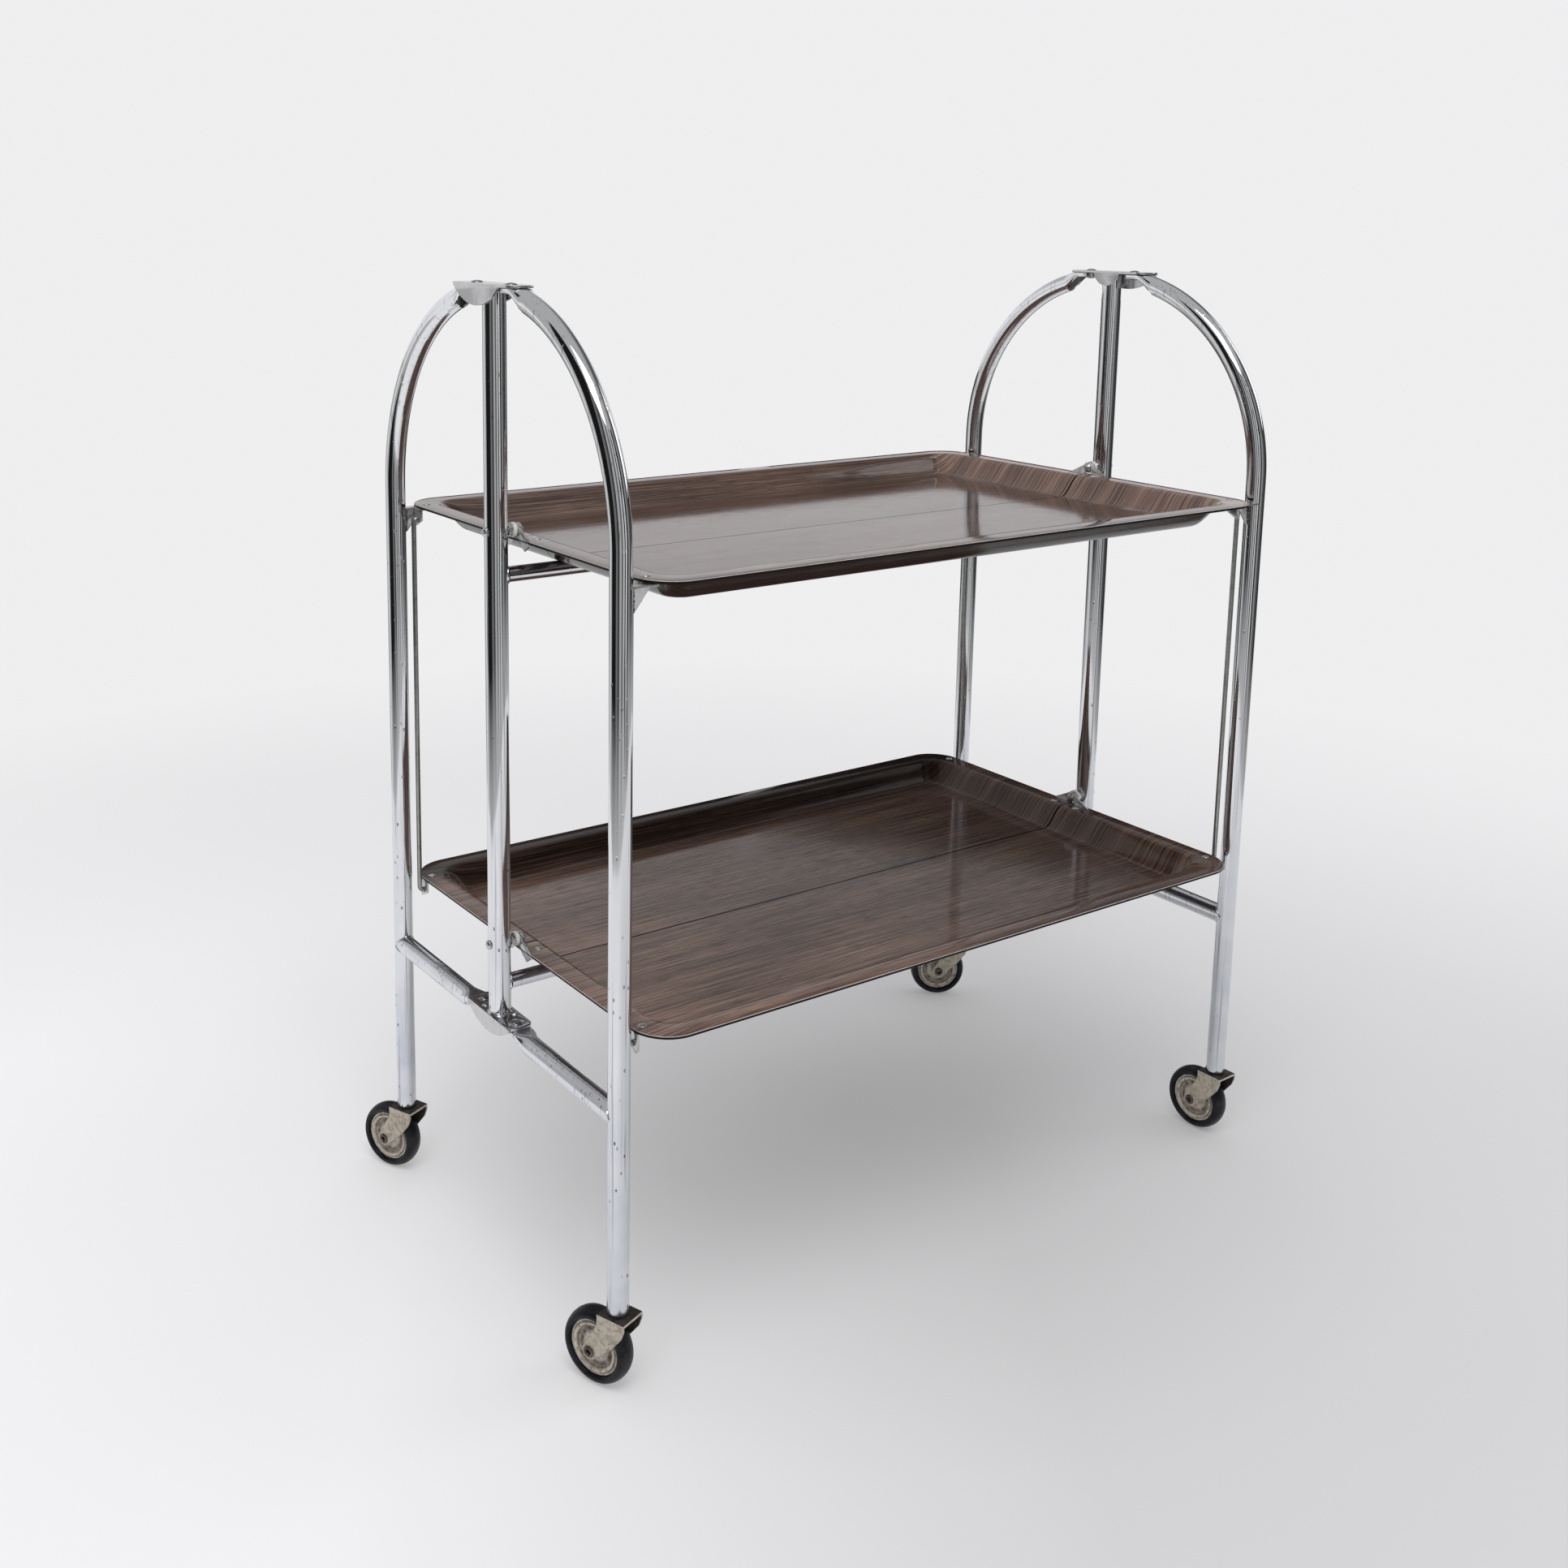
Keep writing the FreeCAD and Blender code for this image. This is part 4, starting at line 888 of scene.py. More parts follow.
@dataclass
class TubeFrame:
    """Posts, stretchers, leg arches and foot struts."""

    chrome: Material
    # Near-black finish, also used for the painted shade in the tubes' open ends.
    dark: Material
    wires: WireTree
    post_x: float = 322.0
    post_radius: float = 8.75
    post_slack: float = 0.02
    plate_gap: float = 0.05
    stretcher_radius: float = 6.0
    stretcher_drop: float = 27.5
    stretcher_sink: float = 2.0
    leg_y: float = 171.5
    leg_radius: float = 8.0
    leg_bottom: float = 62.0
    arch_radius: float = 165.0
    arch_top: float = 770.1
    pivot_y: float = 25.6
    tab_half_width: float = 8.7
    tab_half_height: float = 2.1
    round_y: float = 52.0
    flat_y: float = 34.5
    top_tab_z: float = 772.0
    foot_tab_z: float = 214.3
    strut_z: float = 209.7
    foot_plate_z: float = 218.3
    top_plate_under: float = 774.2
    mouth_low_y: float = 37.0
    mouth_high_y: float = 50.0
    mouth_below: float = 40.0
    mouth_inset: float = 1.6
    mouth_facing: float = -0.35
    mouth_depth: float = 1.3
    mouth_lip: float = 0.5
    sides: int = 48
    stretcher_sides: int = 40
    post_steps: int = 12
    stretcher_steps: int = 10
    leg_steps: int = 30
    arch_steps: int = 40
    strut_steps: int = 16
    press_steps: int = 14
    tip_steps: int = 10
    tip_width: float = 0.02
    press_squareness: float = 0.72
    press_haste: float = 1.04
    cope_share: float = 0.995
    foot_bead_lift: float = 0.5
    foot_bead: tuple[float, float] = (1.1, 0.25)
    stretcher_bead: tuple[float, float] = (1.0, 0.25)
    strut_bead: tuple[float, float] = (0.9, 0.2)
    bead_sides: int = 10
    bead_turns: int = 32

    def build(self) -> None:
        """Make every tube and its welds."""
        for end, hand in ENDS:
            self.build_post(end, hand)
        for tier in Tier:
            self.build_stretcher(tier)
        for corner in Corner:
            self.build_leg_arch(corner)
            self.build_strut(corner)

    def weld(self, name: str, ring: Ring, radius: float, depth: float, body: str) -> None:
        """Lay a bead of weld round a joint.

        Args:
            name: Name of the bead.
            ring: Points of the joint, in metres.
            radius: Radius of the bead.
            depth: Depth of its lumps.
            body: Body that it rides on.
        """
        bead = self.wires.along(name, ring, radius, self.chrome, self.bead_sides, True)
        dress(roughened(bead, depth), None, body)

    def build_post(self, end: int, hand: str) -> None:
        """Central post between its two bracket plates, welded round its foot.

        Args:
            end: -1 at the left-hand end, 1 at the right-hand end.
            hand: Name of that end.
        """
        x = end * self.post_x
        low = Vector((x, 0, self.foot_plate_z + self.plate_gap)) * MM
        high = Vector((x, 0, self.top_plate_under - self.plate_gap)) * MM
        path = [low.lerp(high, step / self.post_steps) for step in range(self.post_steps + 1)]
        radius = self.post_radius - self.post_slack
        thing = self.wires.along(f"chromed_post_{hand}", path, radius, self.chrome, self.sides)
        dress(thing, None, "posts", [f"post_{hand}"])
        wide, height = self.post_radius, self.foot_plate_z + self.foot_bead_lift
        ring = [Vector((x + wide * math.cos(angle), wide * math.sin(angle), height)) * MM
                for angle in turns(self.bead_turns)]
        self.weld(f"foot_weld_{hand}", ring, *self.foot_bead, "posts")

    def build_stretcher(self, tier: Tier) -> None:
        """Stretcher under a tray's seam, welded to each post.

        Args:
            tier: Tray that it lies under.
        """
        height = tier.rim - self.stretcher_drop
        reach = self.post_x - math.sqrt(self.post_radius ** 2 - self.stretcher_sink ** 2)
        steps = self.stretcher_steps
        path = [Vector((reach * (step / steps - 1), 0, height)) * MM for step in range(2 * steps + 1)]
        name = f"chromed_stretcher_{tier.label}"
        thing = self.wires.along(name, path, self.stretcher_radius, self.chrome, self.stretcher_sides)
        dress(thing, None, "posts", [f"{tier.label}_stretcher"])
        for end, hand in ENDS:
            ring = []
            for angle in turns(self.bead_turns):
                y = self.stretcher_radius * math.cos(angle)
                x = end * (self.post_x - math.sqrt(self.post_radius ** 2 - y ** 2))
                ring.append(Vector((x, y, height + self.stretcher_radius * math.sin(angle))) * MM)
            self.weld(f"stretcher_weld_{tier.label}_{hand}", ring, *self.stretcher_bead, "posts")

    def section(self, centre: Point, up: Vector, flat: float = 0.0, width: float = 1.0) -> Ring:
        """Ring of the tube, from round to pressed flat.

        Args:
            centre: Middle of the section.
            up: Unit vector out of the tube's top.
            flat: 0 for round, 1 for the flat tab.
            width: Share of the full width, less than 1 where the tab's tip is rounded.

        Returns:
            The ring in metres.
        """
        half_width = self.leg_radius + (self.tab_half_width - self.leg_radius) * flat
        half_height = self.leg_radius + (self.tab_half_height - self.leg_radius) * flat
        power = 1.0 - self.press_squareness * flat
        ring = []
        for angle in turns(self.sides):
            c, s = math.cos(angle), math.sin(angle)
            across = math.copysign(abs(c) ** power, c) * half_width * width
            rise = math.copysign(abs(s) ** power, s) * half_height
            ring.append((Vector(centre) + Vector((across, 0, 0)) + up * rise) * MM)
        return ring

    def flattened_end(self, corner: Corner, centre_at: Callable[[float], float],
                      tilt_at: Callable[[float], float], tab_z: float) -> list[Ring]:
        """Rings from the round tube to the tip of the flat tab.

        Args:
            corner: Corner that the tube belongs to.
            centre_at: Height of the tube's middle at a distance from the middle plane.
            tilt_at: Slope of the tube there, in radians.
            tab_z: Height of the tab's middle.

        Returns:
            The rings, from the tube to the tip.
        """
        rings = []
        x = corner.end * self.post_x
        for step in range(1, self.press_steps + 1):
            share = step / self.press_steps
            reach = self.round_y + (self.flat_y - self.round_y) * share
            eased = share * share * (3 - 2 * share)
            tilt = tilt_at(reach) * (1 - eased)
            height = centre_at(reach) * (1 - eased) + tab_z * eased
            up = Vector((0, corner.side * math.sin(tilt), math.cos(tilt)))
            flat = min(1.0, eased * self.press_haste)
            rings.append(self.section((x, corner.side * reach, height), up, flat))
        for step in range(1, self.tip_steps + 1):
            angle = QUARTER * step / self.tip_steps
            reach = self.pivot_y - self.tab_half_width * math.sin(angle)
            width = max(math.cos(angle), self.tip_width)
            rings.append(self.section((x, corner.side * reach, tab_z), Vector((0, 0, 1)), 1.0, width))
        return rings

    def build_leg_arch(self, corner: Corner) -> None:
        """Leg bent through its arch, its end pressed flat under the bracket plate.

        Args:
            corner: Corner that it stands at.
        """
        x, side, radius = corner.end * self.post_x, corner.side, self.arch_radius
        centre_y, centre_z = radius - self.leg_y, self.arch_top - radius
        rings = []
        for step in range(self.leg_steps + 1):
            height = self.leg_bottom + (centre_z - self.leg_bottom) * step / self.leg_steps
            rings.append(self.section((x, side * self.leg_y, height), Vector((0, side, 0))))
        last = math.acos((self.round_y + centre_y) / radius)
        for step in range(1, self.arch_steps + 1):
            angle = last * step / self.arch_steps
            centre = (x, side * (radius * math.cos(angle) - centre_y), centre_z + radius * math.sin(angle))
            rings.append(self.section(centre, Vector((0, side * math.cos(angle), math.sin(angle)))))

        def arc_height(reach: float) -> float:
            """Height of the arch's middle line at a distance from the middle plane."""
            return centre_z + math.sqrt(radius ** 2 - (reach + centre_y) ** 2)

        def arc_tilt(reach: float) -> float:
            """Slope of the arch there."""
            return math.asin((reach + centre_y) / radius)

        rings += self.flattened_end(corner, arc_height, arc_tilt, self.top_tab_z)
        thing = mesh_object(f"chromed_leg_{corner.label}", rings)
        self.open_mouth(thing, x)
        dress(smooth(thing, 50.0), None, corner.hoop, [f"leg_arch_{corner.label}"])

    def open_mouth(self, thing: Thing, x: float) -> None:
        """Sink the tube's open end into the underside of its pressed part, with near-black faces as painted
        shade inside the tube.

        Args:
            thing: The leg.
            x: Place of its middle.
        """
        # The mouth faces take the dark finish, painted shade inside the open tube.
        for finish in (self.chrome, self.dark):
            thing.data.materials.append(finish)
        with editing(thing.data) as work:
            mouth = []
            for face in work.faces:
                spot = face.calc_center_median() / MM
                between = self.mouth_low_y < abs(spot.y) < self.mouth_high_y
                middle = abs(spot.x - x) < self.leg_radius - self.mouth_inset
                high = spot.z > self.top_tab_z - self.mouth_below
                if between and middle and high and face.normal.z < self.mouth_facing:
                    mouth.append(face)
            bmesh.ops.inset_region(work, faces=mouth, thickness=self.mouth_lip * MM,
                                   depth=-self.mouth_depth * MM, use_even_offset=True)
            for face in mouth:
                face.material_index = 1

    def build_strut(self, corner: Corner) -> None:
        """Foot strut, coped and welded to the leg, its other end pressed flat.

        Args:
            corner: Corner that it belongs to.
        """
        x, up = corner.end * self.post_x, Vector((0, 0, 1))
        start = []
        for point in self.section((x, 0, self.strut_z), up):
            offset = (point.x / MM - x) * self.cope_share
            reach = self.leg_y - math.sqrt(self.leg_radius ** 2 - offset ** 2)
            start.append(Vector((point.x, corner.side * reach * MM, point.z)))
        rings = [start]
        inner = self.leg_y - self.leg_radius
        for step in range(1, self.strut_steps + 1):
            reach = inner + (self.round_y - inner) * step / self.strut_steps
            rings.append(self.section((x, corner.side * reach, self.strut_z), up))
        rings += self.flattened_end(corner, lambda reach: self.strut_z, lambda reach: 0.0, self.foot_tab_z)
        thing = smooth(mesh_object(f"chromed_strut_{corner.label}", rings), 50.0)
        dress(thing, self.chrome, corner.hoop, [f"foot_strut_{corner.label}"])
        self.weld(f"strut_weld_{corner.label}", start, *self.strut_bead, corner.hoop)


# Pressings and fastenings


@dataclass
class Fastenings:
    """Bracket plates, gussets, tray fittings, bolts, washers, rods and rivets."""

    chrome: Material
    plate: Material
    bracket: Material
    rod_steel: Material
    weld: Material
    white: Material
    wires: WireTree
    rivets: RivetTree
    post_x: float = 322.0
    pivot_y: float = 25.6
    leg_y: float = 171.5
    leg_radius: float = 8.0
    gusset_top: float = 586.0
    top_z: float = 776.0
    foot_z: float = 218.3
    rod_x: float = 309.7
    rod_y: float = 164.0
    rod_drop: float = 11.0
    rod_bend: float = 4.0
    rod_radius: float = 2.0
    rod_bend_steps: int = 8
    rod_sides: int = 24
    peg_end_x: float = 302.6
    end_rivet: tuple[float, float] = (295.0, 13.5)
    corner_rivet_x: float = 298.0
    plate_rivet_spots: tuple[tuple[float, float], ...] = ((-5.0, 14.0), (7.0, -10.5))
    bracket_rounding: float = 0.55
    gusset_rounding: float = 0.35
    fitting_rounding: float = 0.3
    bolt_rounding: float = 0.35
    washer_rounding: float = 0.25
    gusset_weld_faces: tuple[tuple[str, float], ...] = (("outer", 1.5), ("inner", -0.9))
    gusset_weld_radius: float = 1.0
    gusset_weld_lumps: float = 0.5
    gusset_weld_swerve: float = 0.55
    tray_rivet_seed: int = 11
    pivot_rivet_seed: int = 3
    plate_rivet_seed: int = 4
    tray_rivet: RivetHead = RivetHead(3.4, 1.0, tail=4.0)
    pivot_rivet: RivetHead = RivetHead(4.6, 1.5, tail=6.2)
    plate_rivet: RivetHead = RivetHead(3.0, 1.0)

    def build(self) -> None:
        """Make every pressing and fastening."""
        for _, hand in ENDS:
            for level, finish in (("top", self.bracket), ("foot", self.chrome)):
                node = f"{level}_bracket_{hand}"
                plate = self.pressing(node, f"pressed_{node}", self.bracket_rounding, "posts", finish)
                plate.data.materials.append(self.bracket)
                for face in plate.data.polygons:
                    face.material_index = int(abs(face.normal.z) < 0.5)
        for corner in Corner:
            node = f"tray_gusset_{corner.label}"
            self.pressing(node, f"pressed_{node}", self.gusset_rounding, corner.hoop, self.plate)
            self.build_gusset_welds(corner)
            self.build_rod(corner)
        for tier in Tier:
            for side, hand in SIDES:
                body = f"{tier.label}_half_{hand}"
                node = f"{tier.label}_fittings_{hand}"
                self.pressing(node, f"pressed_{node}", self.fitting_rounding, body, self.plate)
                self.build_tray_rivets(tier, side, hand, body)
        self.pressing("tray_hinge_bolts", "hinge_bolts", self.bolt_rounding, "posts", self.plate)
        self.pressing("tray_hinge_washers", "hinge_washers", self.washer_rounding, "posts", self.white)
        self.build_frame_rivets()

    def pressing(self, node: str, name: str, rounding: float, body: str, finish: Material) -> Thing:
        """Round the edges of a packed pressing and give it its finish.

        Args:
            node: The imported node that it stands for.
            name: Name of the new piece.
            rounding: Width of the rounding.
            body: Body that it rides on.
            finish: Its material.

        Returns:
            The piece.
        """
        thing = smooth(beveled(copy_of_node(node, name), rounding), 35.0)
        return dress(thing, finish, body, [node])

    def build_gusset_welds(self, corner: Corner) -> None:
        """Lumpy weld down each face of a gusset's web, against its leg.

        Args:
            corner: Corner of the gusset.
        """
        for place, offset in self.gusset_weld_faces:
            path = []
            for step in range(19):
                swerve = self.gusset_weld_swerve * math.sin(step * 2.1)
                x = corner.end * (self.post_x - self.leg_radius - 0.3 + 0.5 * swerve)
                y = corner.side * (self.leg_y + offset + swerve)
                path.append(Vector((x, y, self.gusset_top - 1.0 - step)) * MM)
            name = f"gusset_weld_{place}_{corner.label}"
            bead = self.wires.along(name, path, self.gusset_weld_radius, self.weld, 10)
            dress(roughened(bead, self.gusset_weld_lumps), None, corner.hoop)

    def build_rod(self, corner: Corner) -> None:
        """Link rod with both ends bent inwards into pegs.

        Args:
            corner: Corner that it hangs at.
        """
        top, foot = Tier.UPPER.rim - self.rod_drop, Tier.LOWER.rim - self.rod_drop
        x, bend = self.rod_x - self.rod_bend, self.rod_bend
        angles = [QUARTER * step / self.rod_bend_steps for step in range(self.rod_bend_steps + 1)]
        bends = [(bend * math.sin(angle), bend * math.cos(angle)) for angle in angles]
        spots = [(self.peg_end_x, top)]
        spots += [(x + rise, top - bend + run) for rise, run in bends]
        spots += [(x + run, foot + bend - rise) for rise, run in bends]
        spots.append((self.peg_end_x, foot))
        path = [Vector((corner.end * px, corner.side * self.rod_y, pz)) * MM for px, pz in spots]
        name = f"link_rod_{corner.label}_steel"
        thing = self.wires.along(name, path, self.rod_radius, self.rod_steel, self.rod_sides)
        dress(thing, None, f"rod_{corner.label}", [f"link_rod_{corner.label}"])

    def build_tray_rivets(self, tier: Tier, side: int, hand: str, body: str) -> None:
        """Rivets of one tray half, through its seam ears and its corner tabs.

        Args:
            tier: Tray that they belong to.
            side: -1 on the near side, 1 on the far side.
            hand: Name of that side.
            body: Body that they ride on.
        """
        points = []
        for end, _ in ENDS:
            points.append(Vector((end * self.end_rivet[0], side * self.end_rivet[1], tier.rim)) * MM)
            points.append(Vector((end * self.corner_rivet_x, side * self.rod_y, tier.rim)) * MM)
        name = f"tray_rivets_{tier.label}_{hand}"
        thing = self.rivets.on(name, points, self.tray_rivet, self.tray_rivet_seed + side, self.plate)
        dress(thing, None, body, [f"{tier.label}_rivets_{hand}"])

    def build_frame_rivets(self) -> None:
        """Pivot rivets of the half-hoops and the small rivets of the foot brackets."""
        big, small = [], []
        for end, _ in ENDS:
            for level in (self.top_z, self.foot_z):
                for way in (-1, 1):
                    big.append(Vector((end * self.post_x, way * self.pivot_y, level)) * MM)
            for x, y in self.plate_rivet_spots:
                small.append(Vector((end * (self.post_x - x), -end * y, self.foot_z)) * MM)
        thing = self.rivets.on("pivot_rivets", big, self.pivot_rivet, self.pivot_rivet_seed, self.rod_steel)
        dress(thing, None, "posts", ["frame_rivets"])
        thing = self.rivets.on("plate_rivets", small, self.plate_rivet, self.plate_rivet_seed, self.chrome)
        dress(thing, None, "posts")


# Trays


class Finish(Enum):
    """Places of the four finishes in a tray half's material slots."""

    LAMINATE = 0
    EDGING = 1
    WORN_EDGE = 2
    UNDERSIDE = 3


@dataclass
class Trays:
    """Four pressed tray halves with a flat rim, an ogee wall and a level floor."""

    laminate: Material
    edging: Material
    worn_edge: Material
    # Darker laminate copy for down-facing faces: painted shade.
    underside: Material
    half_length: float = 306.5
    half_width: float = 192.8
    rim_width: float = 16.0
    rim_corner: float = 30.0
    corner_fall: float = 0.45
    wall_run: float = 21.0
    wall_depth: float = 18.5
    thickness: float = 2.5
    seam_gap: float = 0.3
    edge_round: float = 0.8
    wall_steps: int = 14
    corner_steps: int = 14
    straight_steps: int = 12
    floor_insets: tuple[float, float] = (14.0, 1.5)
    rim_middle: float = 8.0
    edge_steps: int = 4
    edge_margin: float = 0.1
    band_foot: float = 0.05
    band_top: float = 0.02
    worn_share: float = 0.5
    seam_reach: float = 0.2
    level_facing: float = 0.97
    grain_bend: float = 0.8

    def build(self) -> None:
        """Make the four halves."""
        for tier in Tier:
            for side, hand in SIDES:
                self.build_half(tier, side, hand)

    def outline(self, inset: float, height: float, side: int) -> Ring:
        """Half outline of the tray, from seam to seam, drawn in by an inset.

        Args:
            inset: How far the outline lies inside the tray's edge.
            height: Its height.
            side: -1 on the near side, 1 on the far side.

        Returns:
            The points in metres.
        """
        long, wide = self.half_length - inset, self.half_width - inset
        corner = self.rim_corner - self.corner_fall * inset
        seam, straight = self.seam_gap / 2, self.straight_steps
        bends = [QUARTER * step / self.corner_steps for step in range(1, self.corner_steps)]
        end = [(-long, seam + (wide - corner - seam) * step / straight) for step in range(straight + 1)]
        bend = [(corner - long - corner * math.cos(angle), wide - corner + corner * math.sin(angle))
                for angle in bends]
        edge = [((long - corner) * (step / straight - 1), wide) for step in range(2 * straight + 1)]
        points = end + bend + edge + [(-x, y) for x, y in reversed(end + bend)]
        return [Vector((x, side * y, height)) * MM for x, y in points]

    def drop_at(self, inset: float) -> float:
        """How far the top face lies below the rim at an inset."""
        share = min(max((inset - self.rim_width) / self.wall_run, 0.0), 1.0)
        return self.wall_depth * (1 - math.cos(math.pi * share)) / 2

    def outward(self, spot: Vector) -> float:
        """How far a point lies beyond the flat of the rim.

        Args:
            spot: The point, in metres.

        Returns:
            The distance, less than 0 inside the flat.
        """
        inner = self.rim_corner - (self.edge_round + self.edge_margin)
        past_x = abs(spot.x) / MM - (self.half_length - self.rim_corner)
        past_y = abs(spot.y) / MM - (self.half_width - self.rim_corner)
        if past_x > 0 and past_y > 0:
            return math.hypot(past_x, past_y) - inner
        return max(past_x, past_y) - inner

    def across(self, spot: Vector, rim: float) -> float:
        """Place of a point across the flat sheet, so that the grain bends with the pressing.

        Args:
            spot: The point, in millimetres.
            rim: Height of its tray's rim.

        Returns:
            The place in metres.
        """
        reach = self.rim_width + self.wall_run + self.rim_corner
        past_x = max(abs(spot.x) - (self.half_length - reach), 0.0)
        past_y = max(abs(spot.y) - (self.half_width - reach), 0.0)
        share = past_y / max(math.hypot(past_x, past_y), 1e-6)
        rise = max(spot.z - (rim - self.wall_depth), 0.0)
        return (spot.y + math.copysign(self.grain_bend * rise * share ** 2, spot.y)) * MM

    def finish_of(self, face: bpy.types.MeshPolygon, rim: float) -> Finish:
        """Which finish a face has.

        Args:
            face: Face of a tray half.
            rim: Height of its tray's rim.

        Returns:
            The finish.
        """
        centre = face.center
        between = (rim - self.thickness + self.band_foot) * MM < centre.z < (rim - self.band_top) * MM
        if between and abs(face.normal.z) < self.level_facing and self.outward(centre) > 0.0:
            # The upper part of the edge band is pale: a painted highlight line above the dark edging.
            highlit_top = centre.z > (rim - self.worn_share * self.edge_round) * MM
            return Finish.WORN_EDGE if highlit_top else Finish.EDGING
        if abs(centre.y) < self.seam_reach * MM:
            return Finish.EDGING
        # Down-facing faces take the darker laminate copy, painted shade under the tray.
        return Finish.UNDERSIDE if face.normal.z < 0 else Finish.LAMINATE

    def build_half(self, tier: Tier, side: int, hand: str) -> None:
        """Skin one half: floor, wall, rim and edge above, and the same below.

        Args:
            tier: Tray that it belongs to.
            side: -1 on the near side, 1 on the far side.
            hand: Name of that side.
        """
        rim = tier.rim
        steps = self.wall_steps
        wall = [self.rim_width + self.wall_run * step / steps for step in range(steps + 1)]
        insets = [wall[-1] + reach for reach in self.floor_insets] + wall[::-1] + [self.rim_middle]
        top = [(inset, rim - self.drop_at(inset)) for inset in insets]
        edge = [(self.edge_round * (1 - math.sin(angle)), -self.edge_round * (1 - math.cos(angle)))
                for angle in (QUARTER * step / self.edge_steps for step in range(self.edge_steps + 1))]
        rows = top + [(inset, rim + drop) for inset, drop in edge]
        rows += [(inset, rim - self.thickness - drop) for inset, drop in reversed(edge)]
        rows += [(inset, height - self.thickness) for inset, height in reversed(top)]
        rings = [self.outline(inset, height, side) for inset, height in rows]
        thing = mesh_object(f"tray_{tier.label}_{hand}", rings, closed=False)
        with editing(thing.data) as work:
            bmesh.ops.holes_fill(work, edges=[e for e in work.edges if e.is_boundary], sides=0)
            bmesh.ops.recalc_face_normals(work, faces=work.faces)
        for finish in (self.laminate, self.edging, self.worn_edge, self.underside):
            thing.data.materials.append(finish)
        for face in thing.data.polygons:
            face.material_index = self.finish_of(face, rim).value
        store(thing, "across", [self.across(vertex.co / MM, rim) for vertex in thing.data.vertices])
        smooth(thing, 40.0)
        dress(thing, None, f"{tier.label}_half_{hand}", [f"{tier.label}_tray_{hand}"])


# Castors


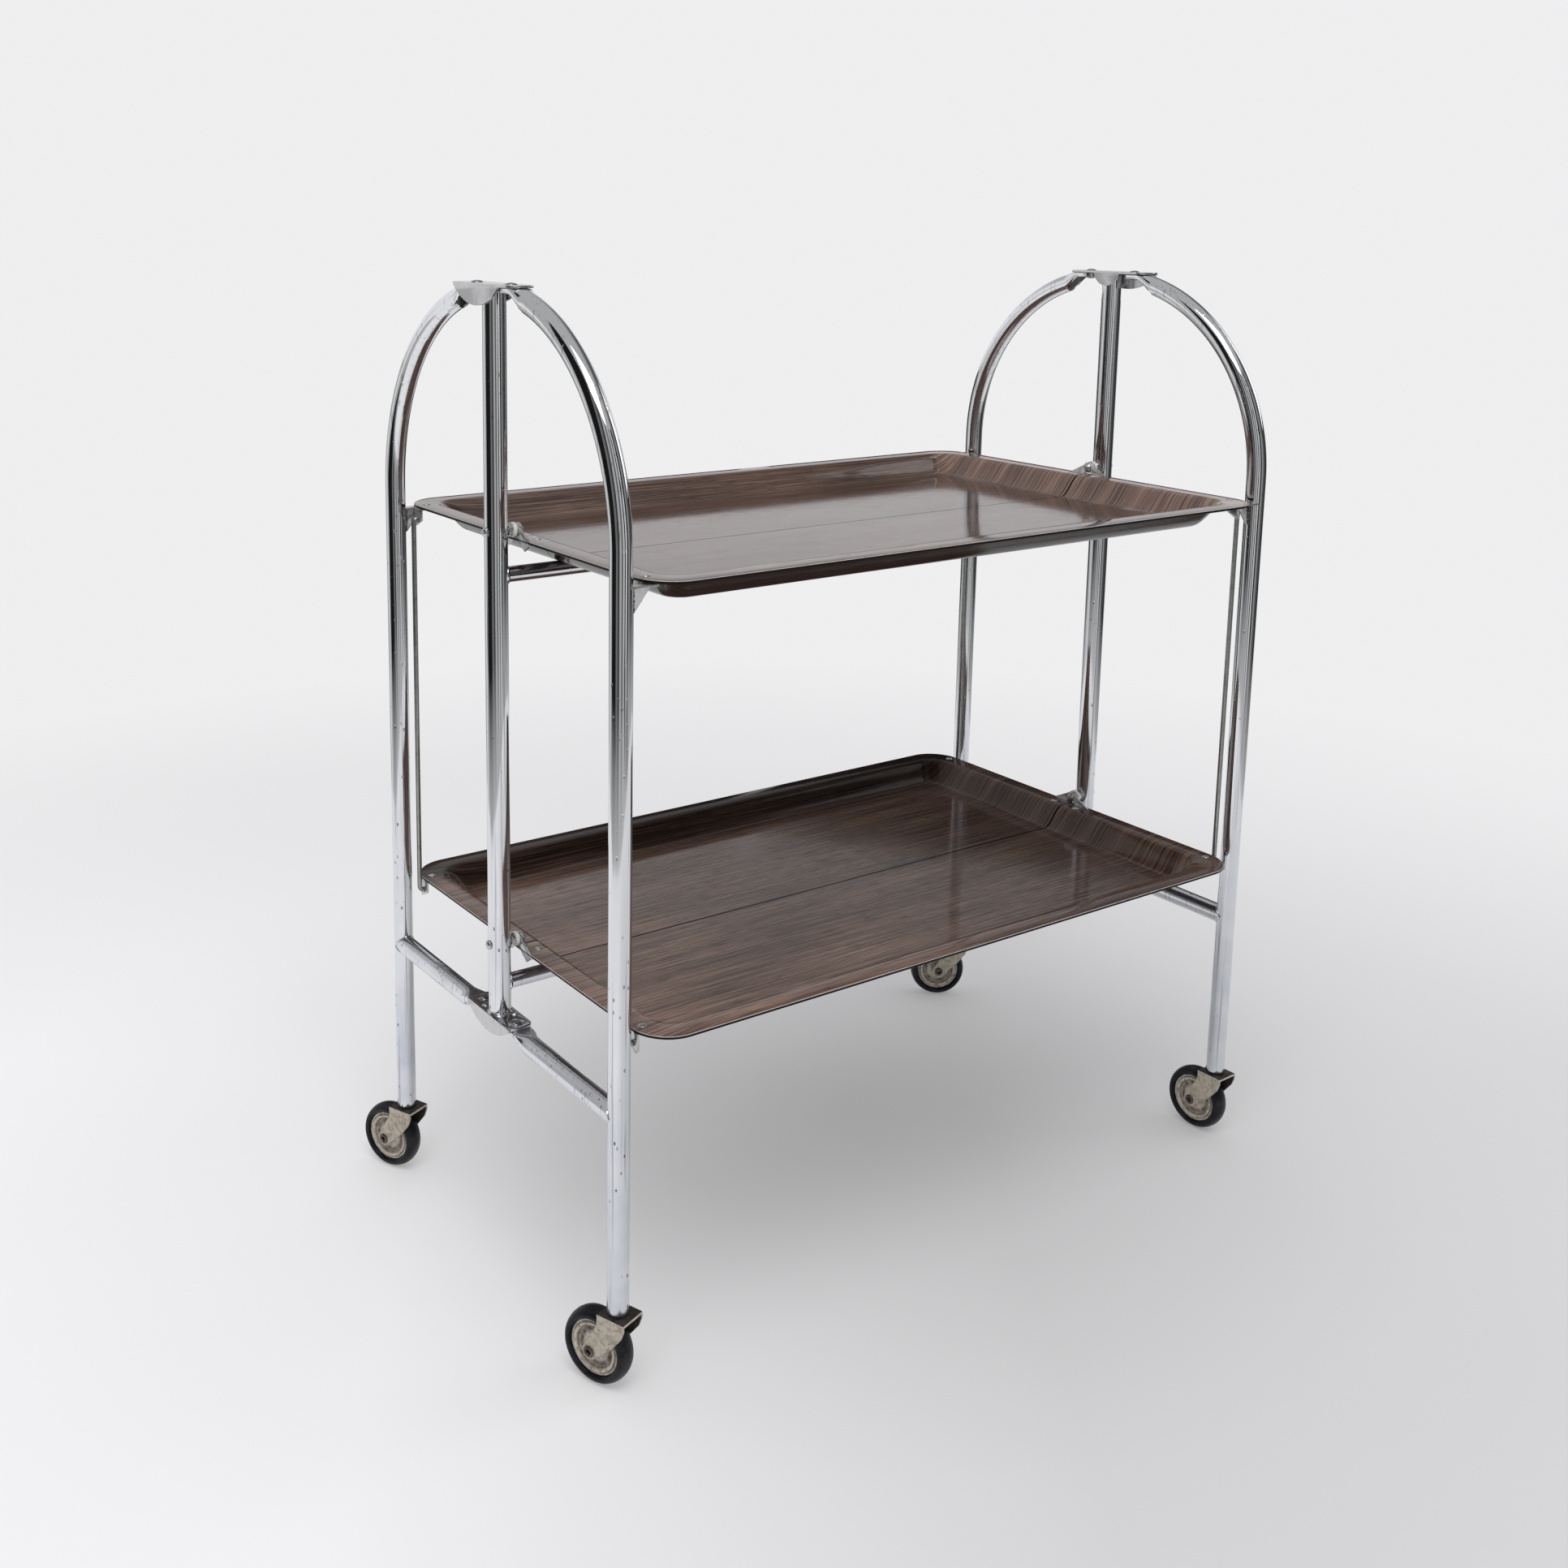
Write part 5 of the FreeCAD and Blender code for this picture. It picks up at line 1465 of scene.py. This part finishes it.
@dataclass
class Castors:
    """Four swivel castors: bush, fork, disc, tyre and axle."""

    fork_metal: Material
    disc_metal: Material
    rubber: Material
    dark_plastic: Material
    dark_steel: Material
    soiled_metal: Material
    worn_metal: Material
    post_x: float = 322.0
    leg_y: float = 171.5
    trail: float = 17.0
    wheel_radius: float = 28.0
    fork_half_width: float = 11.5
    fork_shoulder: float = 28.0
    bush_rounding: float = 0.3
    fork_rounding: float = 0.5
    disc_steps: int = 72
    tyre_steps: int = 96
    axle_steps: int = 32
    soiled_facing: float = 0.9
    worn_facing: float = 0.15
    worn_area: float = 8.0
    hollow: tuple[float, float, float] = (13.0, 2.0, 1.2)
    grooves: tuple[float, float] = (19.0, 15.7)
    groove_width: float = 0.5
    turn: dict[str, float] = field(default_factory=lambda: {
        "near_left": 110.0, "far_left": 113.0, "near_right": 92.0, "far_right": 147.0})

    def build(self) -> None:
        """Make the four castors."""
        for corner in Corner:
            self.build_one(corner)

    def axle_place(self, corner: Corner) -> Matrix:
        """Where the axle of a castor is, its line along the local X axis.

        Args:
            corner: Corner of the castor.

        Returns:
            The place, in metres.
        """
        heading = math.radians(self.turn[corner.label])
        middle = Vector((corner.end * self.post_x, corner.side * self.leg_y, self.wheel_radius))
        middle += Vector((math.cos(heading), math.sin(heading), 0)) * self.trail
        return Matrix.Translation(middle * MM) @ Matrix.Rotation(heading + QUARTER, 4, "Z")

    def build_one(self, corner: Corner) -> None:
        """Make one castor.

        Args:
            corner: Corner that it stands at.
        """
        label, place = corner.label, self.axle_place(corner)
        bush = beveled(copy_of_node(f"castor_bush_{label}", f"leg_bush_{label}"), self.bush_rounding)
        dress(smooth(bush), self.dark_plastic, corner.hoop, [f"castor_bush_{label}"])
        fork = beveled(copy_of_node(f"castor_fork_{label}", f"pressed_fork_{label}"), self.fork_rounding, 3)
        self.soil_fork(smooth(fork, 35.0), place)
        dress(fork, None, f"castor_{label}", [f"castor_fork_{label}"])
        disc = turned(f"dished_disc_{label}", self.disc_profile(), place, self.disc_steps)
        self.paint_grime(disc, place)
        dress(smooth(disc, 50.0), self.disc_metal, f"wheel_{label}", [f"wheel_disc_{label}"])
        tyre = turned(f"rubber_tyre_{label}", self.tyre_profile(), place, self.tyre_steps)
        dress(smooth(tyre, 60.0), self.rubber, f"wheel_{label}", [f"tyre_{label}"])
        axle = turned(f"tubular_axle_{label}", self.axle_profile(), place, self.axle_steps)
        dress(smooth(axle, 40.0), self.dark_steel, f"castor_{label}",
              [f"castor_axle_{label}"])

    def soil_fork(self, fork: Thing, place: Matrix) -> None:
        """Make the fork's top face nearly black, paint shade on its inner faces, and make its upper edges
        pale as wear and painted highlight.

        Args:
            fork: The fork.
            place: Place of its axle.
        """
        for finish in (self.fork_metal, self.soiled_metal, self.worn_metal):
            fork.data.materials.append(finish)
        back = place.inverted()
        turn = back.to_3x3()
        for face in fork.data.polygons:
            spot, facing = back @ face.center, turn @ face.normal
            inside = abs(facing.x) > self.soiled_facing and facing.x * spot.x < 0
            small = face.area < self.worn_area * MM ** 2
            # Top faces are made nearly black; inner faces, which face the wheel, get painted shade.
            if facing.z > self.soiled_facing or inside:
                face.material_index = 1
            # Small up-facing faces high on the fork are pale: wear and a painted highlight along the top
            # edges.
            elif facing.z > self.worn_facing and small and spot.z > self.fork_shoulder * MM:
                face.material_index = 2

    def disc_profile(self) -> Profile:
        """Section of the disc, from the bore over one face, the rim and the other face."""
        face = [
            (9.55, 2.8), (9.55, 5.2), (9.2, 5.6), (7.4, 6.1), (5.6, 7.0), (4.6, 8.4), (3.6, 10.2),
            (3.1, 12.2), (3.0, 14.0), (3.3, 14.8), (4.6, 15.6), (6.0, 16.7), (6.4, 17.7), (6.2, 18.4),
            (5.2, 18.8), (5.0, 19.2), (5.3, 19.7), (5.5, 20.4), (5.0, 21.2), (4.0, 21.5)]
        return face + mirrored(face) + [face[0]]

    def tyre_profile(self) -> Profile:
        """Section of the tyre, closed round on itself."""
        side = [(7.0, 21.5), (7.9, 22.3), (8.0, 23.4), (7.9, 24.6), (7.3, 25.6), (6.2, 26.5), (4.4, 27.3),
                (2.0, 27.9), (0.0, 28.0)]
        return side + mirrored(side[:-1]) + [side[0]]

    def axle_profile(self) -> Profile:
        """Section of the hollow axle rivet with rolled ends.

        Returns:
            Places along the axis and radii.
        """
        out = self.fork_half_width
        half = [(0.0, 2.7), (out, 2.7), (out, 4.3), (out + 0.5, 4.4), (out + 1.1, 4.0), (out + 1.5, 3.2),
                (out + 1.4, 2.4), (out + 0.8, 1.9), (out - 1.2, 1.7), (out - 1.4, 0.0)]
        return mirrored(half[1:]) + half

    def paint_grime(self, disc: Thing, place: Matrix) -> None:
        """Store how much dirt and painted shade lies in each hollow and groove of the disc's face.

        Args:
            disc: The disc.
            place: Place of its axle.
        """
        back = place.inverted()
        middle, width, amount = self.hollow
        values = []
        for vertex in disc.data.vertices:
            spot = back @ vertex.co / MM
            reach = math.hypot(spot.y, spot.z)
            hollow = amount * math.exp(-((reach - middle) / width) ** 2)
            lines = sum(math.exp(-((reach - groove) / self.groove_width) ** 2) for groove in self.grooves)
            values.append(min(1.0, hollow + lines))
        store(disc, "grime", values)


# Studio


@dataclass(frozen=True)
class Flat:
    """Upright flat that only shows in polished metal: two bearings in degrees, tone and height in metres."""

    start: float
    end: float
    level: float
    tall: float = 1.9


@dataclass
class Studio:
    """Camera, pale floor with a painted shadow, soft lights and a plain surrounding."""

    floor_colour: Colour = (0.86, 0.86, 0.87)
    floor_patches: Colour = (0.83, 0.83, 0.84)
    backdrop: Colour = (0.86, 0.86, 0.87)
    low_wall: Colour = (0.84, 0.84, 0.85)
    even_light: Colour = (0.60, 0.60, 0.61)
    ceiling_rise: Range = (0.235, 0.48, 0.0, 1.0)
    ceiling_grey: Range = (0.42, 0.70, 0.46, 0.10)
    floor_radius: float = 14.0
    floor_sides: int = 96
    floor_mottle: Range = (0.3, 0.7, 0.0, 0.25)
    floor_glow: Range = (0.55, 1.7, 0.30, 1.0)
    fade_behind: tuple[float, float] = (0.15, 1.0)
    fade_far: tuple[float, float] = (0.8, 1.6)
    floor_along: Point = (0.554, 0.832, 0.0)
    floor_aside: Point = (0.832, -0.554, 0.0)
    floor_middle: Point = (0.08, 0.05, 0.0)
    shade_aside: Range = (-0.35, 0.15, 1.09, 0.82)
    shade_round: Range = (0.0, 0.5, 0.87, 1.07)
    shade_front: Range = (-0.9, -0.2, 0.96, 1.0)
    place: Point = (-0.91925, -1.10756, 0.83016)
    azimuth: float = -33.665
    elevation: float = 10.110
    roll: float = 0.458
    focal: float = 2136.107
    centre: tuple[float, float] = (807.14, 636.83)
    picture: float = 1932.0
    sensor: float = 36.0
    flats_bearing: float = -123.7
    flats_radius: float = 1.35
    flats_foot: tuple[float, float, float] = (0.0, 0.22, 0.50)
    flats: tuple[Flat, ...] = (
        Flat(-179.0, -140.0, 0.04, 0.7), Flat(-140.0, -108.0, 0.50, 0.7), Flat(-98.0, -82.0, 0.45),
        Flat(-82.0, -44.0, 0.01), Flat(-44.0, -30.0, 0.16), Flat(-30.0, -18.0, 0.05),
        Flat(-18.0, -4.0, 0.42), Flat(-4.0, 8.0, 0.14), Flat(8.0, 20.0, 0.55), Flat(20.0, 29.0, 0.01),
        Flat(29.0, 40.0, 0.62), Flat(42.0, 56.0, 0.01), Flat(56.0, 76.0, 0.26), Flat(76.0, 98.0, 0.07),
        Flat(98.0, 126.0, 0.03, 0.78), Flat(126.0, 142.0, 0.35, 0.7), Flat(142.0, 179.0, 0.02, 0.7))

    def build(self) -> None:
        """Set the whole studio."""
        bpy.context.scene.view_settings.view_transform = "Standard"
        self.build_camera()
        self.build_world()
        self.build_floor()
        self.build_flats()
        self.build_lights()

    def build_camera(self) -> None:
        """Camera at the viewing angle, with its shift for the framing."""
        lens = bpy.data.cameras.new("camera")
        lens.sensor_fit = "HORIZONTAL"
        lens.sensor_width = self.sensor
        lens.lens = self.focal / self.picture * self.sensor
        lens.shift_x = (self.picture / 2 - self.centre[0]) / self.picture
        lens.shift_y = (self.centre[1] - self.picture / 2) / self.picture
        lens.clip_start = 0.01
        a, e, r = (math.radians(angle) for angle in (self.azimuth, self.elevation, self.roll))
        forward = Vector((-math.sin(a) * math.cos(e), math.cos(a) * math.cos(e), -math.sin(e)))
        level = forward.cross(Vector((0, 0, 1))).normalized()
        upright = level.cross(forward)
        right = math.cos(r) * level + math.sin(r) * upright
        up = -math.sin(r) * level + math.cos(r) * upright
        turn = Matrix((right, up, -forward)).transposed().to_4x4()
        camera = linked("camera", lens)
        camera.matrix_world = Matrix.Translation(self.place) @ turn
        bpy.context.scene.camera = camera

    def build_world(self) -> None:
        """Even light, a pale background, and a grey ceiling for the chrome to show."""
        world = bpy.data.worlds.new("studio")
        bpy.context.scene.world = world
        world.use_nodes = True
        graph = Nodes(world.node_tree)
        path = graph.node("ShaderNodeLightPath")
        way = graph.node("ShaderNodeTexCoord")
        parts = graph.node("ShaderNodeSeparateXYZ", {"Vector": way.outputs["Generated"]})
        rise = graph.span(parts.outputs["Z"], *self.ceiling_rise)
        beyond = graph.span(parts.outputs["X"], *self.ceiling_grey)
        ceiling = graph.blend(rise, self.low_wall, beyond)
        seen = graph.math("MAXIMUM", path.outputs["Is Camera Ray"], path.outputs["Is Transmission Ray"])
        even = graph.blend(path.outputs["Is Glossy Ray"], self.even_light, ceiling)
        shown = graph.blend(seen, even, self.backdrop)
        light = graph.node("ShaderNodeBackground", {"Color": shown, "Strength": 1.0})
        graph.node("ShaderNodeOutputWorld", {"Surface": light.outputs["Background"]})

    def build_floor(self) -> None:
        """Wide pale floor with a painted shadow round the trolley, glowing in part and more with distance,
        so that it fades into the background far from the trolley.
        """
        mesh = bpy.data.meshes.new("studio_floor")
        with editing(mesh) as work:
            bmesh.ops.create_circle(work, cap_ends=True, radius=self.floor_radius, segments=self.floor_sides)
        graph = Graph("pale_floor")
        patches = graph.mottle(5.0, 5.0, self.floor_mottle)
        pale = graph.blend(patches, self.floor_colour, self.floor_patches)
        # Painted shadow: the floor's colour and glow are darkened round the trolley and lightened beside it,
        # fading out behind and far away.
        apart = graph.vector("LENGTH", {})
        along = graph.vector("DOT_PRODUCT", {1: self.floor_along})
        aside = graph.vector("DOT_PRODUCT", {1: self.floor_aside})
        offset = graph.vector("DISTANCE", {1: self.floor_middle})
        shade = graph.times(graph.span(aside, *self.shade_aside), graph.span(offset, *self.shade_round))
        shade = graph.times(shade, graph.span(along, *self.shade_front))
        shade = graph.span(along, *self.fade_behind, shade, 1.0)
        shade = graph.span(apart, *self.fade_far, shade, 1.0)
        graph.set(Base_Color=graph.scaled(pale, shade), Roughness=0.62, Specular_IOR_Level=0.25)
        glow = graph.node("ShaderNodeEmission", {"Color": (*self.backdrop, 1.0), "Strength": shade})
        mixed = graph.node("ShaderNodeMixShader", {
            0: graph.span(apart, *self.floor_glow), 1: graph.shader.outputs["BSDF"],
            2: glow.outputs["Emission"]})
        graph.feed(graph.output.inputs["Surface"], mixed.outputs[0])
        mesh.materials.append(graph.material)
        linked("studio_floor", mesh)

    def build_flats(self) -> None:
        """Stand the dark and grey flats round the front."""
        points, faces = [], []
        for flat in self.flats:
            first = len(points)
            for bearing in (flat.start, flat.end):
                angle = math.radians(self.flats_bearing + bearing)
                foot = Vector((math.cos(angle), math.sin(angle), 0)) * self.flats_radius
                points += [tuple(foot), tuple(foot + Vector((0, 0, flat.tall)))]
            faces.append((first, first + 1, first + 3, first + 2))
        mesh = bpy.data.meshes.new("dark_flats")
        mesh.from_pydata(points, [], faces)
        graph = Graph("dark_flats")
        level = graph.span(graph.axis("Z"), *self.flats_foot, graph.attribute("level"))
        tone = graph.ramp(level, ((0.0, (0, 0, 0)), (1.0, (1, 1, 1))))
        glow = graph.node("ShaderNodeEmission", {"Color": tone})
        graph.feed(graph.output.inputs["Surface"], glow.outputs["Emission"])
        mesh.materials.append(graph.material)
        thing = linked("dark_flats", mesh)
        store(thing, "level", [flat.level for flat in self.flats], "FACE")
        thing.visible_camera = False
        thing.visible_diffuse = False
        thing.visible_shadow = False
        thing.visible_transmission = False

    def build_lights(self) -> None:
        """Large soft lamps: one overhead at the front left, one weaker at the right."""
        for name, spot, size, power in (
                ("overhead_softbox", (-0.9, -1.0, 2.6), 1.5, 24.0),
                ("side_softbox", (2.2, -0.8, 1.7), 1.6, 9.0)):
            lamp = bpy.data.lights.new(name, "AREA")
            lamp.size = size
            lamp.energy = power
            aim = (Vector((0, 0, 0.4)) - Vector(spot)).to_track_quat("-Z", "Y")
            linked(name, lamp).matrix_world = Matrix.Translation(spot) @ aim.to_matrix().to_4x4()


def main() -> None:
    """Build the studio and dress the whole trolley."""
    logging.basicConfig(level=logging.INFO, format="%(name)s: %(message)s")
    Studio().build()
    wires, rivets = WireTree(), RivetTree()
    chrome = Chrome().material()
    plate = Plate().material()
    rod_steel = Plate("drawn_rod", (0.36, 0.36, 0.35), (0.18, 0.17, 0.15), 0.12, 0.30, 0.5).material()
    dark_steel = Plate("dark_rivet_steel", (0.14, 0.125, 0.10), (0.05, 0.045, 0.04), 0.25, 0.5,
                       0.7).material()
    bracket = Plate("bracket_plating", (0.60, 0.60, 0.61), (0.38, 0.37, 0.35), 0.15, 0.28, 0.25, 0.15,
                    0.00001).material()
    white = Plastic("white_nylon", (0.72, 0.71, 0.68), (0.40, 0.38, 0.33)).material()
    # Dark plastic of the castor bushes, also the painted shade in the tubes' open ends.
    dark = Plastic("dark_bush", (0.020, 0.018, 0.018), (0.06, 0.05, 0.045)).material()
    edging = Plastic("dark_edge", (0.008, 0.006, 0.006), (0.02, 0.016, 0.014), 0.3, 0.12).material()
    fork_metal = Grimy("fork_plating").material()
    disc_metal = Grimy("disc_plating", (0.60, 0.545, 0.46), (0.075, 0.052, 0.038), 0.6, 0.2, True).material()
    # Near-black plating for the fork's top, and painted shade on its inner faces.
    soiled_metal = Grimy("soiled_plating", (0.030, 0.027, 0.024), (0.10, 0.075, 0.055), 0.35, 0.3).material()
    # Pale plating for the fork's upper edges: wear and painted highlight.
    worn_metal = Grimy("worn_plating", (0.80, 0.78, 0.72), (0.42, 0.38, 0.32), 0.3, 0.5).material()
    TubeFrame(chrome, dark, wires).build()
    Fastenings(chrome, plate, bracket, rod_steel, dark_steel, white, wires, rivets).build()
    # Pale plastic for the painted highlight along the top of the tray's rounded edge.
    worn_edge = Plastic("worn_edge", (0.46, 0.43, 0.41), (0.22, 0.19, 0.17), 0.2).material()
    # A darker copy of the laminate for down-facing faces, painted shade under the trays.
    underside = Laminate("dark_laminate", (0.016, 0.010, 0.009), (0.032, 0.019, 0.016),
                         (0.058, 0.036, 0.030), 0.10).material()
    Trays(Laminate().material(), edging, worn_edge, underside).build()
    Castors(fork_metal, disc_metal, Rubber().material(), dark, dark_steel, soiled_metal, worn_metal).build()


if __name__ == "__main__":
    main()
